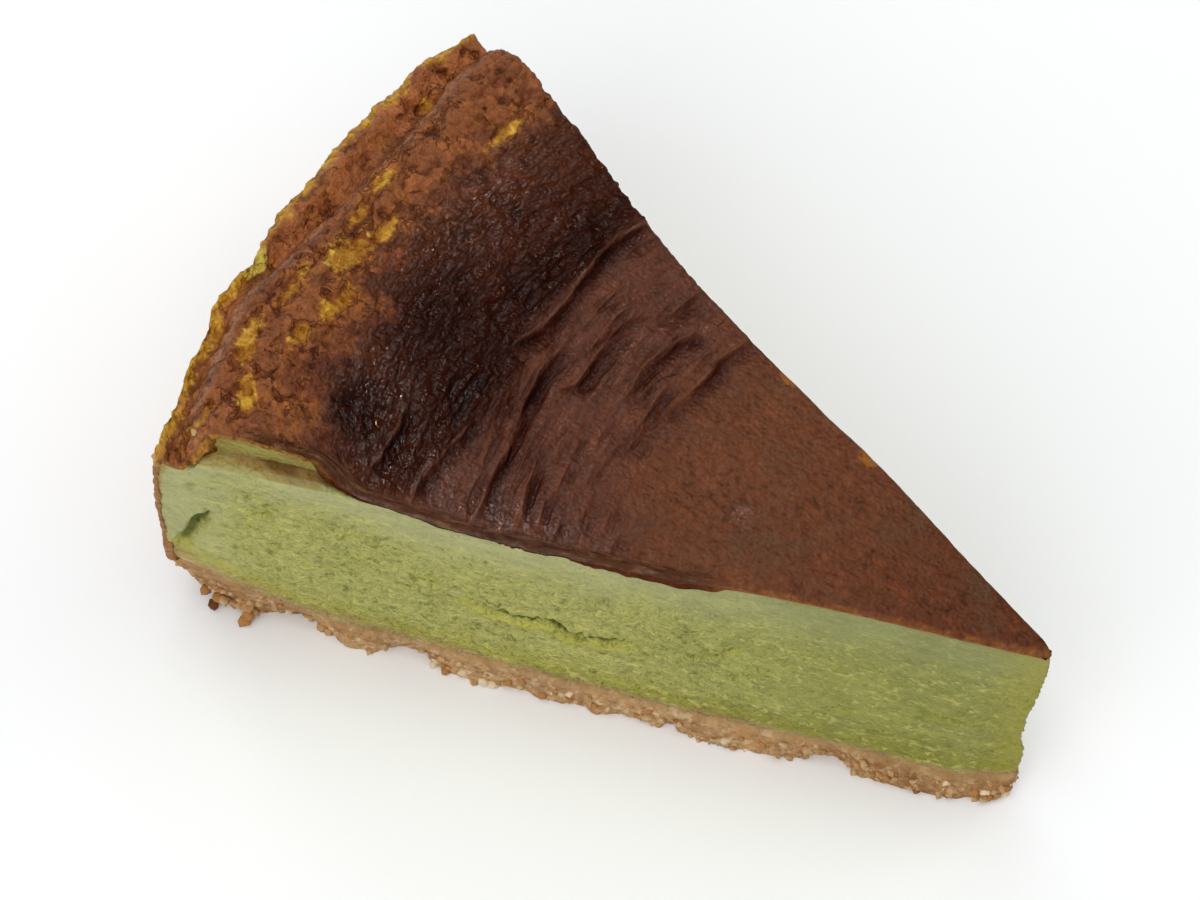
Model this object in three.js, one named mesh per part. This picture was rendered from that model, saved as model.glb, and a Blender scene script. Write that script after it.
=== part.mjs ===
// A slice of burnt cheesecake, as cut: green custard under a browned, wrinkled top
// with a raised rim, on a thin layer of pressed biscuit crumbs. Millimetres, +Z up.
//
// The slice's tip points along +X and its rim faces -X. The cut face on the -Y side
// is called near, the one on the +Y side far. A place on the slice is a distance
// from the tip's upright edge and an angle across the slice, 0 in its middle,
// negative towards the near cut.
import * as THREE from "three";

const { clamp, lerp, smoothstep } = THREE.MathUtils;
const DEGREE = Math.PI / 180;

// The round cake that the slice was cut from
const CAKE_RADIUS = 100;
const SLICE_ANGLE = 37.35 * DEGREE;
const HALF_ANGLE = SLICE_ANGLE / 2;
const TOP_HEIGHT = 41;
const CREST_HEIGHT = 46.4;
const LEDGE_RADIUS = 98.3;

// Height of the top: distance from the tip, height
const TOP_PROFILE = [
  [0, TOP_HEIGHT + 0.2],
  [28, TOP_HEIGHT],
  [48, TOP_HEIGHT - 1],
  [62, TOP_HEIGHT - 0.8],
  [67, TOP_HEIGHT],
  [74, TOP_HEIGHT + 2],
  [82, TOP_HEIGHT + 4],
  [89, CREST_HEIGHT],
  [91.8, CREST_HEIGHT - 1],
  [93.2, TOP_HEIGHT + 1.6],
  [94.6, TOP_HEIGHT - 0.6],
  [96.6, TOP_HEIGHT + 0.5],
  [LEDGE_RADIUS, TOP_HEIGHT - 0.8],
];

// Radius of the outer wall: height, radius
const WALL_PROFILE = [
  [0, CAKE_RADIUS - 2.5],
  [4, CAKE_RADIUS - 0.7],
  [10, CAKE_RADIUS],
  [25, CAKE_RADIUS],
  [33, CAKE_RADIUS - 0.7],
  [TOP_HEIGHT - 0.8, LEDGE_RADIUS],
];
const WALL_DEPTH = 14;

// The raised rim comes nearer the tip at this angle than at the near cut
const RIM_WANDER = 2.5;
const RIM_WANDER_ANGLE = 7 * DEGREE;
const RIM_WANDER_SPREAD = 9 * DEGREE;
const RIM_DISTANCE = 91;
const RIM_WIDTH = 6;

// Wrinkles of the skin, each an arc about the tip: distance, first and last angle
// in degrees, depth. Each ridge has a furrow beside it, on the tip's side.
const WRINKLES = [
  [67.5, 0.5, 18.7, 0.9],
  [63.3, -15.6, 4.2, 0.8],
  [60.5, 0, 10.3, 0.7],
  [69, -14.4, -9.3, 0.5],
  [75, -15.5, -9.9, 0.5],
  [59.6, -16.2, -8.9, 0.6],
  [61.4, 12.6, 15.7, 0.4],
  [56.6, 12.5, 17.9, 0.5],
  [53.4, -2.7, 14.5, 0.7],
  [50, 8.1, 16.8, 0.5],
  [49, -2.9, 15.2, 0.8],
];
const WRINKLE_WIDTH = 1.1;
const WRINKLE_FADE = 3 * DEGREE;

// The near cut leans out towards the foot. The raised rim's part of it stands back
// behind a narrow shelf of browned skin.
const NEAR_LEAN = 1.7;
const SHELF_WIDTH = 2.1;
const SHELF_FROM = 77;
const SHELF_FULL_FROM = 86;
const SHELF_TO = 94.4;
const SKIN_THICKNESS = 0.8;

// The far cut waves out and in along the slice
const FAR_WAVE = 0.5;

// The biscuit layer turns up where the pan's wall was. Its near edge spills out in
// lumps, and it has lost a piece near the rim.
const LAYER_HEIGHT = 6;
const TURN_UP_FROM = 80;
const TURN_UP_HEIGHT = 8;
const LAYER_GAP = 0.3;
const CRUMB_SPILL = 1.4;
const LOST_PIECE_AT = 87;
const LOST_PIECE_DEPTH = 2.6;
const LOST_PIECE_SPREAD = 3.6;

// How finely the surfaces are divided: end and step of each run along the slice
const CUSTARD_RUNS = [
  [3, 1.5],
  [45, 3.5],
  [80, 1.1],
  [91, 1.6],
  [LEDGE_RADIUS, 0.75],
];
const BISCUIT_RUNS = [
  [3, 1.5],
  [LEDGE_RADIUS, 2],
];
const CUSTARD_COLUMNS = 24;
const BISCUIT_COLUMNS = 14;
const LOWER_LEVELS = 5;
const UPPER_LEVELS = 2;
const BISCUIT_LEVELS = 3;

/** A smooth curve through [place, value] knots, without overshoot, at one place. */
function along(knots, place) {
  const last = knots.length - 1;
  const slope = (i) => (knots[i + 1][1] - knots[i][1]) / (knots[i + 1][0] - knots[i][0]);
  const tangent = (i) => {
    const before = slope(Math.max(i - 1, 0));
    const after = slope(Math.min(i, last - 1));
    return before * after <= 0 ? 0 : (2 * before * after) / (before + after);
  };
  let i = 0;
  while (i < last - 1 && place > knots[i + 1][0]) i += 1;
  const [x, y] = knots[i];
  const [nextX, nextY] = knots[i + 1];
  const width = nextX - x;
  const t = clamp((place - x) / width, 0, 1);
  const start = tangent(i) * width;
  const end = tangent(i + 1) * width;
  const rise = nextY - y;
  return y + start * t + (3 * rise - 2 * start - end) * t ** 2 + (start + end - 2 * rise) * t ** 3;
}

/** A bell of height 1, 0.37 high at the spread on each side of its middle. */
function bell(distance, spread) {
  return Math.exp(-((distance / spread) ** 2));
}

/** How much the wrinkles raise or lower the skin at a place. */
function wrinkled(distance, angle) {
  let height = 0;
  for (const [radius, first, last, depth] of WRINKLES) {
    const start = first * DEGREE;
    const end = last * DEGREE;
    const grows = smoothstep(angle, start - WRINKLE_FADE, start + WRINKLE_FADE);
    const fades = 1 - smoothstep(angle, end - WRINKLE_FADE, end + WRINKLE_FADE);
    const ridge = bell(distance - radius, WRINKLE_WIDTH);
    const furrow = bell(distance - radius + 1.6 * WRINKLE_WIDTH, WRINKLE_WIDTH);
    height += depth * grows * fades * (0.5 * ridge - furrow);
  }
  return height;
}

/** Height of the top at a place. */
function topHeight(distance, angle) {
  const wander = RIM_WANDER * (bell(angle - RIM_WANDER_ANGLE, RIM_WANDER_SPREAD) - 0.4);
  const read = distance + wander * bell(distance - RIM_DISTANCE, RIM_WIDTH);
  return along(TOP_PROFILE, read) + wrinkled(distance, angle);
}

/** Height where custard and biscuit meet, which rises towards the rim. */
function layerHeight(distance) {
  const rise = clamp((distance - TURN_UP_FROM) / (LEDGE_RADIUS - TURN_UP_FROM), 0, 1);
  return LAYER_HEIGHT + TURN_UP_HEIGHT * rise ** 1.5;
}

/** How far the near cut stands out of its plane at a place. */
function nearLean(distance, height) {
  const grows = smoothstep(distance, 0, 8);
  const fades = 1 - smoothstep(distance, 30, 88);
  return NEAR_LEAN * grows * fades * Math.max(0, 1 - height / TOP_HEIGHT);
}

/** How far the far cut stands out of its plane at a distance. */
function farWave(distance) {
  return FAR_WAVE * smoothstep(distance, 0, 3) * (bell(distance - 14, 14) - bell(distance - 50, 14));
}

/** How far the raised rim's cut face stands back from the near cut's plane. */
function shelfWidth(distance) {
  const grows = smoothstep(distance, SHELF_FROM, SHELF_FULL_FROM);
  const ends = 1 - smoothstep(distance, SHELF_TO - 0.6, SHELF_TO + 0.6);
  return SHELF_WIDTH * grows * ends;
}

/** How far the biscuit's near edge stands out beyond the custard's near cut. */
function crumbSpill(distance) {
  const lumps = Math.sin(distance / 2.3) + 0.7 * Math.sin(distance / 1.37 + 2);
  const rim = 1 - smoothstep(distance, 62, 84);
  const spill = CRUMB_SPILL * smoothstep(distance, 0, 5) * rim * (1 + 0.35 * lumps);
  return spill - LOST_PIECE_DEPTH * bell(distance - LOST_PIECE_AT, LOST_PIECE_SPREAD);
}

/**
 * A point of the slice at a distance, a share of the way from the near cut to the
 * far cut and a height, where near and far say how far the cuts stand out.
 */
function slicePoint(distance, share, height, near, far) {
  const wallDepth = smoothstep(distance, LEDGE_RADIUS - WALL_DEPTH, LEDGE_RADIUS);
  const reach = distance + (along(WALL_PROFILE, height) - LEDGE_RADIUS) * wallDepth;
  const angle = lerp(-HALF_ANGLE, HALF_ANGLE, share);
  const nearOut = near * (1 - smoothstep(share, 0, 0.3));
  const farOut = far * smoothstep(share, 0.7, 1);
  return new THREE.Vector3(
    -reach * Math.cos(angle) + (nearOut + farOut) * Math.sin(HALF_ANGLE),
    reach * Math.sin(angle) + (farOut - nearOut) * Math.cos(HALF_ANGLE),
    height,
  );
}

/**
 * The closed surface of a block of layers by columns by levels. place gives each
 * surface point from its three indices. All columns meet in one edge on layer 0.
 */
function blockSurface(layers, columns, levels, place) {
  const positions = [];
  const index = [];
  const known = new Map();
  const vertex = (i, j, k) => {
    const key = [i, i === 0 ? 0 : j, k].join();
    if (!known.has(key)) {
      known.set(key, known.size);
      positions.push(...place(i, i === 0 ? 0 : j, k));
    }
    return known.get(key);
  };
  const triangle = (a, b, c) => {
    if (a !== b && b !== c && c !== a) index.push(a, b, c);
  };
  const quad = (corners) => {
    const [a, b, c, d] = corners.map((corner) => vertex(...corner));
    triangle(a, b, c);
    triangle(a, c, d);
  };
  for (let i = 0; i < layers; i += 1) {
    for (let j = 0; j < columns; j += 1) {
      quad([[i, j, levels], [i, j + 1, levels], [i + 1, j + 1, levels], [i + 1, j, levels]]);
      quad([[i, j, 0], [i, j + 1, 0], [i + 1, j + 1, 0], [i + 1, j, 0]].reverse());
    }
    for (let k = 0; k < levels; k += 1) {
      quad([[i, 0, k], [i + 1, 0, k], [i + 1, 0, k + 1], [i, 0, k + 1]].reverse());
      quad([[i, columns, k], [i + 1, columns, k], [i + 1, columns, k + 1], [i, columns, k + 1]]);
    }
  }
  for (let j = 0; j < columns; j += 1) {
    for (let k = 0; k < levels; k += 1) {
      quad([[layers, j, k], [layers, j + 1, k], [layers, j + 1, k + 1], [layers, j, k + 1]].reverse());
    }
  }
  const geometry = new THREE.BufferGeometry();
  geometry.setAttribute("position", new THREE.Float32BufferAttribute(positions, 3));
  geometry.setIndex(index);
  geometry.computeVertexNormals();
  return geometry;
}

/** Distances from the tip, in runs of end and step. */
function stations(runs) {
  const found = [0];
  for (const [end, step] of runs) {
    const start = found.at(-1);
    const count = Math.round((end - start) / step);
    for (let n = 1; n <= count; n += 1) found.push(lerp(start, end, n / count));
  }
  return found;
}

/** The custard with its browned skin, from the biscuit layer to the top. */
function custard() {
  const distances = stations(CUSTARD_RUNS);
  const levels = LOWER_LEVELS + UPPER_LEVELS + 1;
  const place = (i, j, k) => {
    const distance = distances[i];
    const share = j / CUSTARD_COLUMNS;
    const foot = layerHeight(distance);
    const top = topHeight(distance, lerp(-HALF_ANGLE, HALF_ANGLE, share));
    const shelf = Math.min(TOP_HEIGHT, top - 2 * SKIN_THICKNESS);
    const strip = k > LOWER_LEVELS;
    const height = strip
      ? lerp(shelf + 0.2, top, (k - LOWER_LEVELS - 1) / UPPER_LEVELS)
      : lerp(foot, shelf, k / LOWER_LEVELS);
    const near = strip ? -shelfWidth(distance) : nearLean(distance, height);
    return slicePoint(distance, share, height, near, farWave(distance));
  };
  return blockSurface(distances.length - 1, CUSTARD_COLUMNS, levels, place);
}

/** The pressed crumb layer under the custard, flat below. */
function biscuit() {
  const distances = stations(BISCUIT_RUNS);
  const place = (i, j, k) => {
    const distance = distances[i];
    const share = j / BISCUIT_COLUMNS;
    const height = lerp(0, layerHeight(distance) - LAYER_GAP, k / BISCUIT_LEVELS);
    const low = 1 - 0.6 * (k / BISCUIT_LEVELS);
    const near = nearLean(distance, height) + crumbSpill(distance) * low;
    return slicePoint(distance, share, height, near, farWave(distance));
  };
  return blockSurface(distances.length - 1, BISCUIT_COLUMNS, BISCUIT_LEVELS, place);
}

function named(name, geometry, color, roughness) {
  const material = new THREE.MeshStandardMaterial({ color, roughness, metalness: 0 });
  const mesh = new THREE.Mesh(geometry, material);
  mesh.name = name;
  return mesh;
}

const slice = new THREE.Group();
slice.name = "cheesecake_slice";
slice.add(named("burnt_custard", custard(), 0x8f8a4a, 0.6));
slice.add(named("biscuit_base", biscuit(), 0xb08858, 0.9));

// The part's origin is the middle of its footprint, on the floor
const bounds = new THREE.Box3().setFromObject(slice, true);
const middle = bounds.getCenter(new THREE.Vector3());
slice.position.set(-middle.x, -middle.y, -bounds.min.z);

export default slice;
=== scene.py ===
# %% [markdown]
# A slice of burnt cheesecake
#
# The real object is one slice of a round cheesecake that was baked very hot: green
# custard, a wrinkled top burnt nearly black before its raised rim, and a thin layer
# of pressed biscuit crumbs. This file dresses the slice's plain CAD solids. It is
# read from top to bottom, and each step says what it makes and why it is made so.

import math

import bpy
import numpy as np
from mathutils import Matrix, Vector


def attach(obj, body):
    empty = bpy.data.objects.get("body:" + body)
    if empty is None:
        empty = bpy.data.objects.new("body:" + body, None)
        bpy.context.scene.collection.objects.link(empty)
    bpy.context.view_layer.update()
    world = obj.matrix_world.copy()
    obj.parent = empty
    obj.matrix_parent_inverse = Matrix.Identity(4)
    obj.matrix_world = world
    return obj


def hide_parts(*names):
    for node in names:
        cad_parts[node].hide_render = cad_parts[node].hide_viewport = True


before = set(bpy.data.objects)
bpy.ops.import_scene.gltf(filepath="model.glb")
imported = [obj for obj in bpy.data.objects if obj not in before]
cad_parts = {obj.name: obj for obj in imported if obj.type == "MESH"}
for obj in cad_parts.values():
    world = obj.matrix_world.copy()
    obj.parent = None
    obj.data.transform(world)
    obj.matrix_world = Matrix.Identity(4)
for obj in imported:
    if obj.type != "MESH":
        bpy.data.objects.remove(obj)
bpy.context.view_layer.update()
MM = 0.001
print("CAD nodes:", sorted(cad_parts))

# %% [markdown]
# Camera
#
# The slice was photographed from above its near cut, with a long lens. The corners of
# the slice fix such a camera once its radius is settled, here that of a usual pan. So
# it is given as three angles, a place and a focal length, without shift or blur.

# %% Set up the camera
VIEW_AZIMUTH = math.radians(31.499)
VIEW_ELEVATION = math.radians(64.726)
VIEW_ROLL = math.radians(0.713)
VIEW_PLACE = Vector((100.08, -173.62, 459.62)) * MM
LENS_LENGTH = 127.47
SENSOR_WIDTH = 36.0
NEAREST_SEEN = 0.01


def make_camera():
    """A camera from its azimuth, elevation and roll, looking at the slice."""
    flat = math.cos(VIEW_ELEVATION)
    sine, cosine = math.sin(VIEW_AZIMUTH), math.cos(VIEW_AZIMUTH)
    back = Vector((sine * flat, -cosine * flat, math.sin(VIEW_ELEVATION)))
    level = Vector((cosine, sine, 0.0))
    upright = back.cross(level)
    right = level * math.cos(VIEW_ROLL) + upright * math.sin(VIEW_ROLL)
    up = upright * math.cos(VIEW_ROLL) - level * math.sin(VIEW_ROLL)
    data = bpy.data.cameras.new("view")
    data.lens = LENS_LENGTH
    data.sensor_width = SENSOR_WIDTH
    data.clip_start = NEAREST_SEEN
    camera = bpy.data.objects.new("view", data)
    turned = Matrix((right, up, back)).transposed().to_4x4()
    camera.matrix_world = Matrix.Translation(VIEW_PLACE) @ turned
    bpy.context.scene.collection.objects.link(camera)
    bpy.context.scene.camera = camera


make_camera()
bpy.context.scene.view_settings.view_transform = "Standard"
print("Camera at, mm:", [round(v / MM) for v in VIEW_PLACE])

# %% [markdown]
# Floor and light
#
# A pale floor and soft light from all sides, as in a light tent. The sky could be one
# grey, but skin this dark would then mirror it and turn milky. So the sky is dim to
# glossy rays, and four large lamps, also hidden from glossy rays, do the lighting.
# The skin mirrors three lamps: a middling one for its sheen, and two small ones for
# glints. The small ones light nothing diffusely, so they throw no hard shadows.

# %% Make the floor
FLOOR_COLOUR = (0.94, 0.943, 0.937, 1.0)
FLOOR_HALF = 0.75
FLOOR_ROUGHNESS = 0.9
FLOOR_SHINE = 0.1


def make_floor():
    """A pale square floor under the slice."""
    data = bpy.data.meshes.new("floor")
    corners = [(x * FLOOR_HALF, y * FLOOR_HALF, 0) for x, y in ((-1, -1), (1, -1), (1, 1), (-1, 1))]
    data.from_pydata(corners, [], [(0, 1, 2, 3)])
    floor = bpy.data.objects.new("floor", data)
    bpy.context.scene.collection.objects.link(floor)
    paint = bpy.data.materials.new("pale_floor")
    paint.use_nodes = True
    shader = paint.node_tree.nodes["Principled BSDF"]
    shader.inputs["Base Color"].default_value = FLOOR_COLOUR
    shader.inputs["Roughness"].default_value = FLOOR_ROUGHNESS
    shader.inputs["Specular IOR Level"].default_value = FLOOR_SHINE
    data.materials.append(paint)


make_floor()
print("Floor's side, m:", 2 * FLOOR_HALF)


# %% Make the sky
SKY_COOL = (0.92, 0.975, 1.07, 1.0)
SKY_PALE = (1.0, 0.99, 0.97, 1.0)
SKY_FOR_LIGHT = 0.41
SKY_FOR_GLOSS = 0.015
SKY_FOR_VIEW = 0.97


def make_sky():
    """A sky that lights, but shows dimly in gloss."""
    world = bpy.data.worlds.new("sky")
    bpy.context.scene.world = world
    world.use_nodes = True
    nodes, links = world.node_tree.nodes, world.node_tree.links
    path = nodes.new("ShaderNodeLightPath")
    gloss, view = nodes.new("ShaderNodeMix"), nodes.new("ShaderNodeMix")
    gloss.inputs["A"].default_value = SKY_FOR_LIGHT
    gloss.inputs["B"].default_value = SKY_FOR_GLOSS
    view.inputs["B"].default_value = SKY_FOR_VIEW
    links.new(path.outputs["Is Glossy Ray"], gloss.inputs["Factor"])
    links.new(gloss.outputs["Result"], view.inputs["A"])
    links.new(path.outputs["Is Camera Ray"], view.inputs["Factor"])
    background = nodes["Background"]
    tint = nodes.new("ShaderNodeMix")
    tint.data_type = "RGBA"
    tint.inputs["A"].default_value = SKY_COOL
    tint.inputs["B"].default_value = SKY_PALE
    links.new(path.outputs["Is Camera Ray"], tint.inputs["Factor"])
    links.new(tint.outputs["Result"], background.inputs["Color"])
    links.new(view.outputs["Result"], background.inputs["Strength"])


make_sky()
print("Sky for light, gloss and view:", SKY_FOR_LIGHT, SKY_FOR_GLOSS, SKY_FOR_VIEW)


# %% Place the lamps
LAMP_WARM = (1.0, 0.985, 0.955)
# name: place in metres, side in metres, power in watts, whether it is mirrored
LAMPS = {
    "top": ((-0.14, 0.05, 2.6), 1.5, 26.0, False),
    "front": ((0.35, -1.9, 2.1), 2.1, 25.5, False),
    "fill": ((-0.9, -1.7, 0.9), 1.5, 5.0, False),
    "window": ((1.1, 1.5, 2.3), 1.6, 10.0, False),
    "sheen": ((-1.1, 0.55, 0.80), 0.45, 1.5, True),
    "glint": ((-0.62, 0.20, 0.95), 0.07, 2.2, True),
    "back_glint": ((0.34, 0.46, 1.10), 0.07, 0.9, True),
}


def make_lamps():
    """Square lamps that point at the slice."""
    for name, (place, side, power, mirrored) in LAMPS.items():
        data = bpy.data.lights.new(name, "AREA")
        data.size = side
        data.energy = power
        data.color = LAMP_WARM
        lamp = bpy.data.objects.new(name, data)
        lamp.location = place
        lamp.rotation_euler = (-Vector(place)).to_track_quat("-Z", "Y").to_euler()
        lamp.visible_glossy = mirrored
        lamp.visible_diffuse = "glint" not in name
        lamp.visible_camera = False
        bpy.context.scene.collection.objects.link(lamp)


make_lamps()
print("Lamps:", ", ".join(LAMPS))

# %% [markdown]
# Curves to shape by
#
# Everything on the slice swells, sinks and fades smoothly. Four small functions give
# all of that: a smooth step up or down, a bell, and a curve through a few given points.
# They work on whole arrays at once, so a hundred thousand points take no time.


# %% Define the curves
def smoothstep(value, start, end):
    """Rises smoothly from 0 at start to 1 at end."""
    t = np.clip((value - start) / (end - start), 0.0, 1.0)
    return t * t * (3.0 - 2.0 * t)


def fade(value, start, end):
    """Falls smoothly from 1 at start to 0 at end."""
    return 1 - smoothstep(value, start, end)


def bell(distance, spread):
    """A bell of height 1, 0.37 high at the spread on each side of its middle."""
    return np.exp(-((distance / spread) ** 2))


def along(knots, place):
    """A smooth curve through (place, value) knots, without overshoot."""
    x, y = np.array(knots, float).T
    slopes = np.diff(y) / np.diff(x)
    before = np.concatenate([slopes[:1], slopes])
    after = np.concatenate([slopes, slopes[-1:]])
    agree = before * after > 0
    tangents = np.where(agree, 2 * before * after / np.where(agree, before + after, 1), 0)
    place = np.clip(place, x[0], x[-1])
    i = np.clip(np.searchsorted(x, place, side="right") - 1, 0, len(x) - 2)
    width = x[i + 1] - x[i]
    rise = y[i + 1] - y[i]
    start, end = tangents[i] * width, tangents[i + 1] * width
    t = (place - x[i]) / width
    return y[i] + start * t + (3 * rise - 2 * start - end) * t**2 + (start + end - 2 * rise) * t**3


print("Half way along a test curve:", along([(0, 0), (1, 2), (2, 3)], 1.0))

# %% [markdown]
# The slice's form
#
# A place on the slice is a distance from the tip's upright edge and an angle across
# it, in degrees from the middle, negative towards the near cut. These are the sizes
# of the CAD solids, in millimetres, so the dressed slice keeps their form. A few follow
# the photo more closely than the solids do: the line of the crest, the worn tip, the
# ledge's bulges and how high the biscuit layer turns up at the wall.

# %% Give the slice's sizes
HALF_ANGLE = 37.35 / 2
HALF_TURN = math.radians(HALF_ANGLE)
TOP_HEIGHT = 41.0
LEDGE_RADIUS = 98.3
WALL_TOP = 40.2
TIP_AT = 50.0
TOP_PROFILE = [
    (0, 41.2), (28, 41), (48, 40), (62, 40.2), (67, 41), (74, 43), (82, 45),
    (89, 46.4), (91.8, 45.4), (93.2, 42.6), (94.6, 40.4), (96.6, 41.5), (LEDGE_RADIUS, WALL_TOP),
]
WALL_PROFILE = [(0, 97.5), (4, 99.3), (10, 100), (25, 100), (33, 99.3), (WALL_TOP, LEDGE_RADIUS)]
WALL_DEPTH = 14.0
# Angle across the slice, distance of the crest's outer edge
CREST_LINE = [
    (-18.7, 94.9), (-17, 95.8), (-15, 96.2), (-6.3, 96.0), (-4.0, 95.2), (-1, 94.1),
    (4, 93.1), (8.3, 93.1), (11.8, 93.6), (15.3, 94.4), (18.7, 94.7),
]
CREST_IN_PROFILE = 93.4
CREST_SPREAD = 5.5
TIP_LENGTH = 7.0
LAYER_HEIGHT = 6.0
TURN_UP_FROM = 80.0
TURN_UP_HEIGHT = 9.5
# Height, how far the tip's edge stands out
TIP_WEAR = [
    (0, -1.1), (3.5, -0.2), (9, 0.15), (13, 0.1), (16, -0.6), (21, -0.45),
    (24, -0.3), (27, -0.05), (31, 0.2), (37, 0.5), (41, 0.35),
]
# Angle, how far the ledge stands out of its circle
LEDGE_BULGE = [
    (-18.7, 0.7), (-16.5, 0.6), (-14.5, 0.3), (-12, 0.6), (-10.3, 0.45), (-9, 0.6), (-7.5, 1.3),
    (-6, 0.8), (-4.5, 0.45), (-3, 0.15), (-1.5, 0.75), (1.5, 1.1), (3, 0.65), (5, 0.9), (7.5, 1.15),
    (9, 1.0), (10.5, 1.15), (12, 0.8), (13.8, 1.15), (15, 1.25), (16.5, 0.75), (18.7, 0.6),
]
print("The slice's angle, degrees:", 2 * HALF_ANGLE)


# %% Find places on the slice
def crest_line(angle):
    """Distance of the crest's outer edge at an angle."""
    return along(CREST_LINE, angle)


def layer_height(distance):
    """Height where custard and biscuit meet, which rises towards the rim."""
    rise = np.clip((distance - TURN_UP_FROM) / (LEDGE_RADIUS - TURN_UP_FROM), 0, 1)
    return LAYER_HEIGHT + TURN_UP_HEIGHT * rise**1.5


def wall_reach(distance, height, inset=0.0):
    """The distance of a place once the outer wall's swell at a height is added."""
    wall = smoothstep(distance, LEDGE_RADIUS - WALL_DEPTH, LEDGE_RADIUS)
    return distance + (along(WALL_PROFILE, height) - LEDGE_RADIUS - inset) * wall


def slice_point(distance, share, height, near=0.0, far=0.0, inset=0.0):
    """The point at a distance, a share of the way from the near to the far cut and a
    height, where near and far say how far the cuts stand out, and inset how deep it
    lies under the outer wall."""
    distance, share, height, near, far = np.broadcast_arrays(
        *(np.asarray(v, float) for v in (distance, share, height, near, far))
    )
    reach = wall_reach(distance, height, inset)
    angle = HALF_ANGLE * (2 * share - 1)
    upper = smoothstep(height, 26, 40) * smoothstep(distance, 92, LEDGE_RADIUS)
    reach = reach + along(LEDGE_BULGE, angle) * upper
    angle = np.radians(angle)
    near_out = near * fade(share, 0, 0.3)
    far_out = far * smoothstep(share, 0.7, 1)
    worn = along(TIP_WEAR, height) * fade(distance, 0, TIP_LENGTH)
    x = TIP_AT + worn - reach * np.cos(angle) + (near_out + far_out) * math.sin(HALF_TURN)
    y = reach * np.sin(angle) + (far_out - near_out) * math.cos(HALF_TURN)
    return np.stack([x, y, height], -1)


NEAR_SIDE = np.array([math.sin(HALF_TURN), -math.cos(HALF_TURN), 0])
FAR_SIDE = NEAR_SIDE * (1, -1, 1)
print("Crest's edge at three angles, mm:", np.round(crest_line(np.array([-15.0, 0, 15])), 1))

# %% [markdown]
# Wrinkles
#
# As the cake sank, its skin was pressed into folds that run across the slice, as arcs
# about the tip. Each has a thin ridge and a wide furrow on the tip's side. Noise alone
# can't place them, so the ones that show are set one by one. The CAD solids have the
# largest of them, with softer ridges. Finer ones come later, from a texture.

# %% Place the wrinkles
# Depth, and the ridge's line as angles and distances
WRINKLES = [
    (1.0, [(0.5, 67.9), (3, 67.0), (5, 66.6), (8, 67.1), (10, 67.6), (14, 67.8), (18.7, 67.4)]),
    (1.0, [(-16.8, 63.2), (-10, 63.1), (-5, 63.5), (-1, 63.7), (4, 64.2)]),
    (0.85, [(-0.8, 61.5), (0.3, 60.6), (2, 60.2), (7, 60.2), (11, 60.4)]),
    (0.35, [(2, 61.2), (8, 61.0)]),
    (0.75, [(-17, 70.4), (-13, 69.0), (-11, 68.4), (-8.5, 67.9)]),
    (0.9, [(-17, 75.4), (-14, 74.8), (-9.5, 74.5)]),
    (0.5, [(-13.5, 72.0), (-11.5, 71.5), (-8.5, 71.7)]),
    (0.65, [(-17, 58.5), (-14.5, 58.8), (-9, 59.5)]),
    (0.5, [(-0.5, 65.0), (2, 64.9), (5, 66.0)]),
    (0.4, [(12.5, 61.6), (16, 61.2)]),
    (0.5, [(11.5, 57.4), (18, 57.3)]),
    (0.8, [(2.5, 54.6), (8, 54.9), (14.5, 54.2)]),
    (0.55, [(-4.2, 51.4), (0, 51.0), (4, 51.6), (7, 51.8)]),
    (0.75, [(2.5, 50.2), (5, 49.9), (7.5, 49.4), (11, 49.0), (14, 49.5), (18.7, 49.6)]),
    (0.45, [(-16.8, 56.8), (-11, 56.9)]),
    (0.35, [(-9, 57.6), (-2, 57.2)]),
    (0.35, [(-16.5, 52.4), (-10, 52.2)]),
    (0.3, [(-16.5, 49.6), (-9.5, 49.4)]),
    (0.3, [(-9, 52.6), (-5, 52.2)]),
    (0.35, [(-8, 48.6), (-4.5, 48.2)]),
    (0.45, [(-9.5, 65.6), (-6, 65.2), (-2, 65.6)]),
    (0.55, [(-17.5, 54.9), (-14, 54.6)]),
    (0.4, [(-17.5, 51.0), (-14.5, 50.9)]),
    (0.45, [(-17.5, 48.0), (-13.5, 47.9)]),
    (0.35, [(-17.5, 46.4), (-14.8, 46.3)]),
]
WRINKLE_FADE = 2.2
RIDGE_WIDTH = 0.30
LIP_WIDTH = 0.9
LIP_HEIGHT = 0.14
FURROW_DEPTH = 0.80
print("Wrinkles:", len(WRINKLES))


# %% Shape the top
def fold_lines(distance, angle):
    """For each wrinkle, how far a place is outside its line, and how deep it is there."""
    for number, (depth, line) in enumerate(WRINKLES):
        wave = 0.25 * np.sin(angle * 0.5 + 2.1 * number) + 0.06 * np.sin(angle * 1.4 + number)
        off = distance - along(line, angle) - wave
        grows = smoothstep(angle, line[0][0] - WRINKLE_FADE, line[0][0] + WRINKLE_FADE)
        fades = fade(angle, line[-1][0] - WRINKLE_FADE, line[-1][0] + WRINKLE_FADE)
        yield off, depth * grows * fades * (0.85 + 0.15 * np.sin(angle * 0.6 + 3 * number))


def wrinkled(distance, angle):
    """How much the wrinkles raise or lower the skin at a place."""
    height = 0.0
    for off, depth in fold_lines(distance, angle):
        low = -0.45 - 0.3 * depth
        furrow = np.where(off > low, bell(off - low, 0.55), bell(off - low, 0.7 + 1.1 * depth))
        lip = np.where(off > 0, bell(off, LIP_WIDTH), bell(off, RIDGE_WIDTH))
        height = height + depth * (LIP_HEIGHT * lip - FURROW_DEPTH * furrow)
    return height


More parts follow.
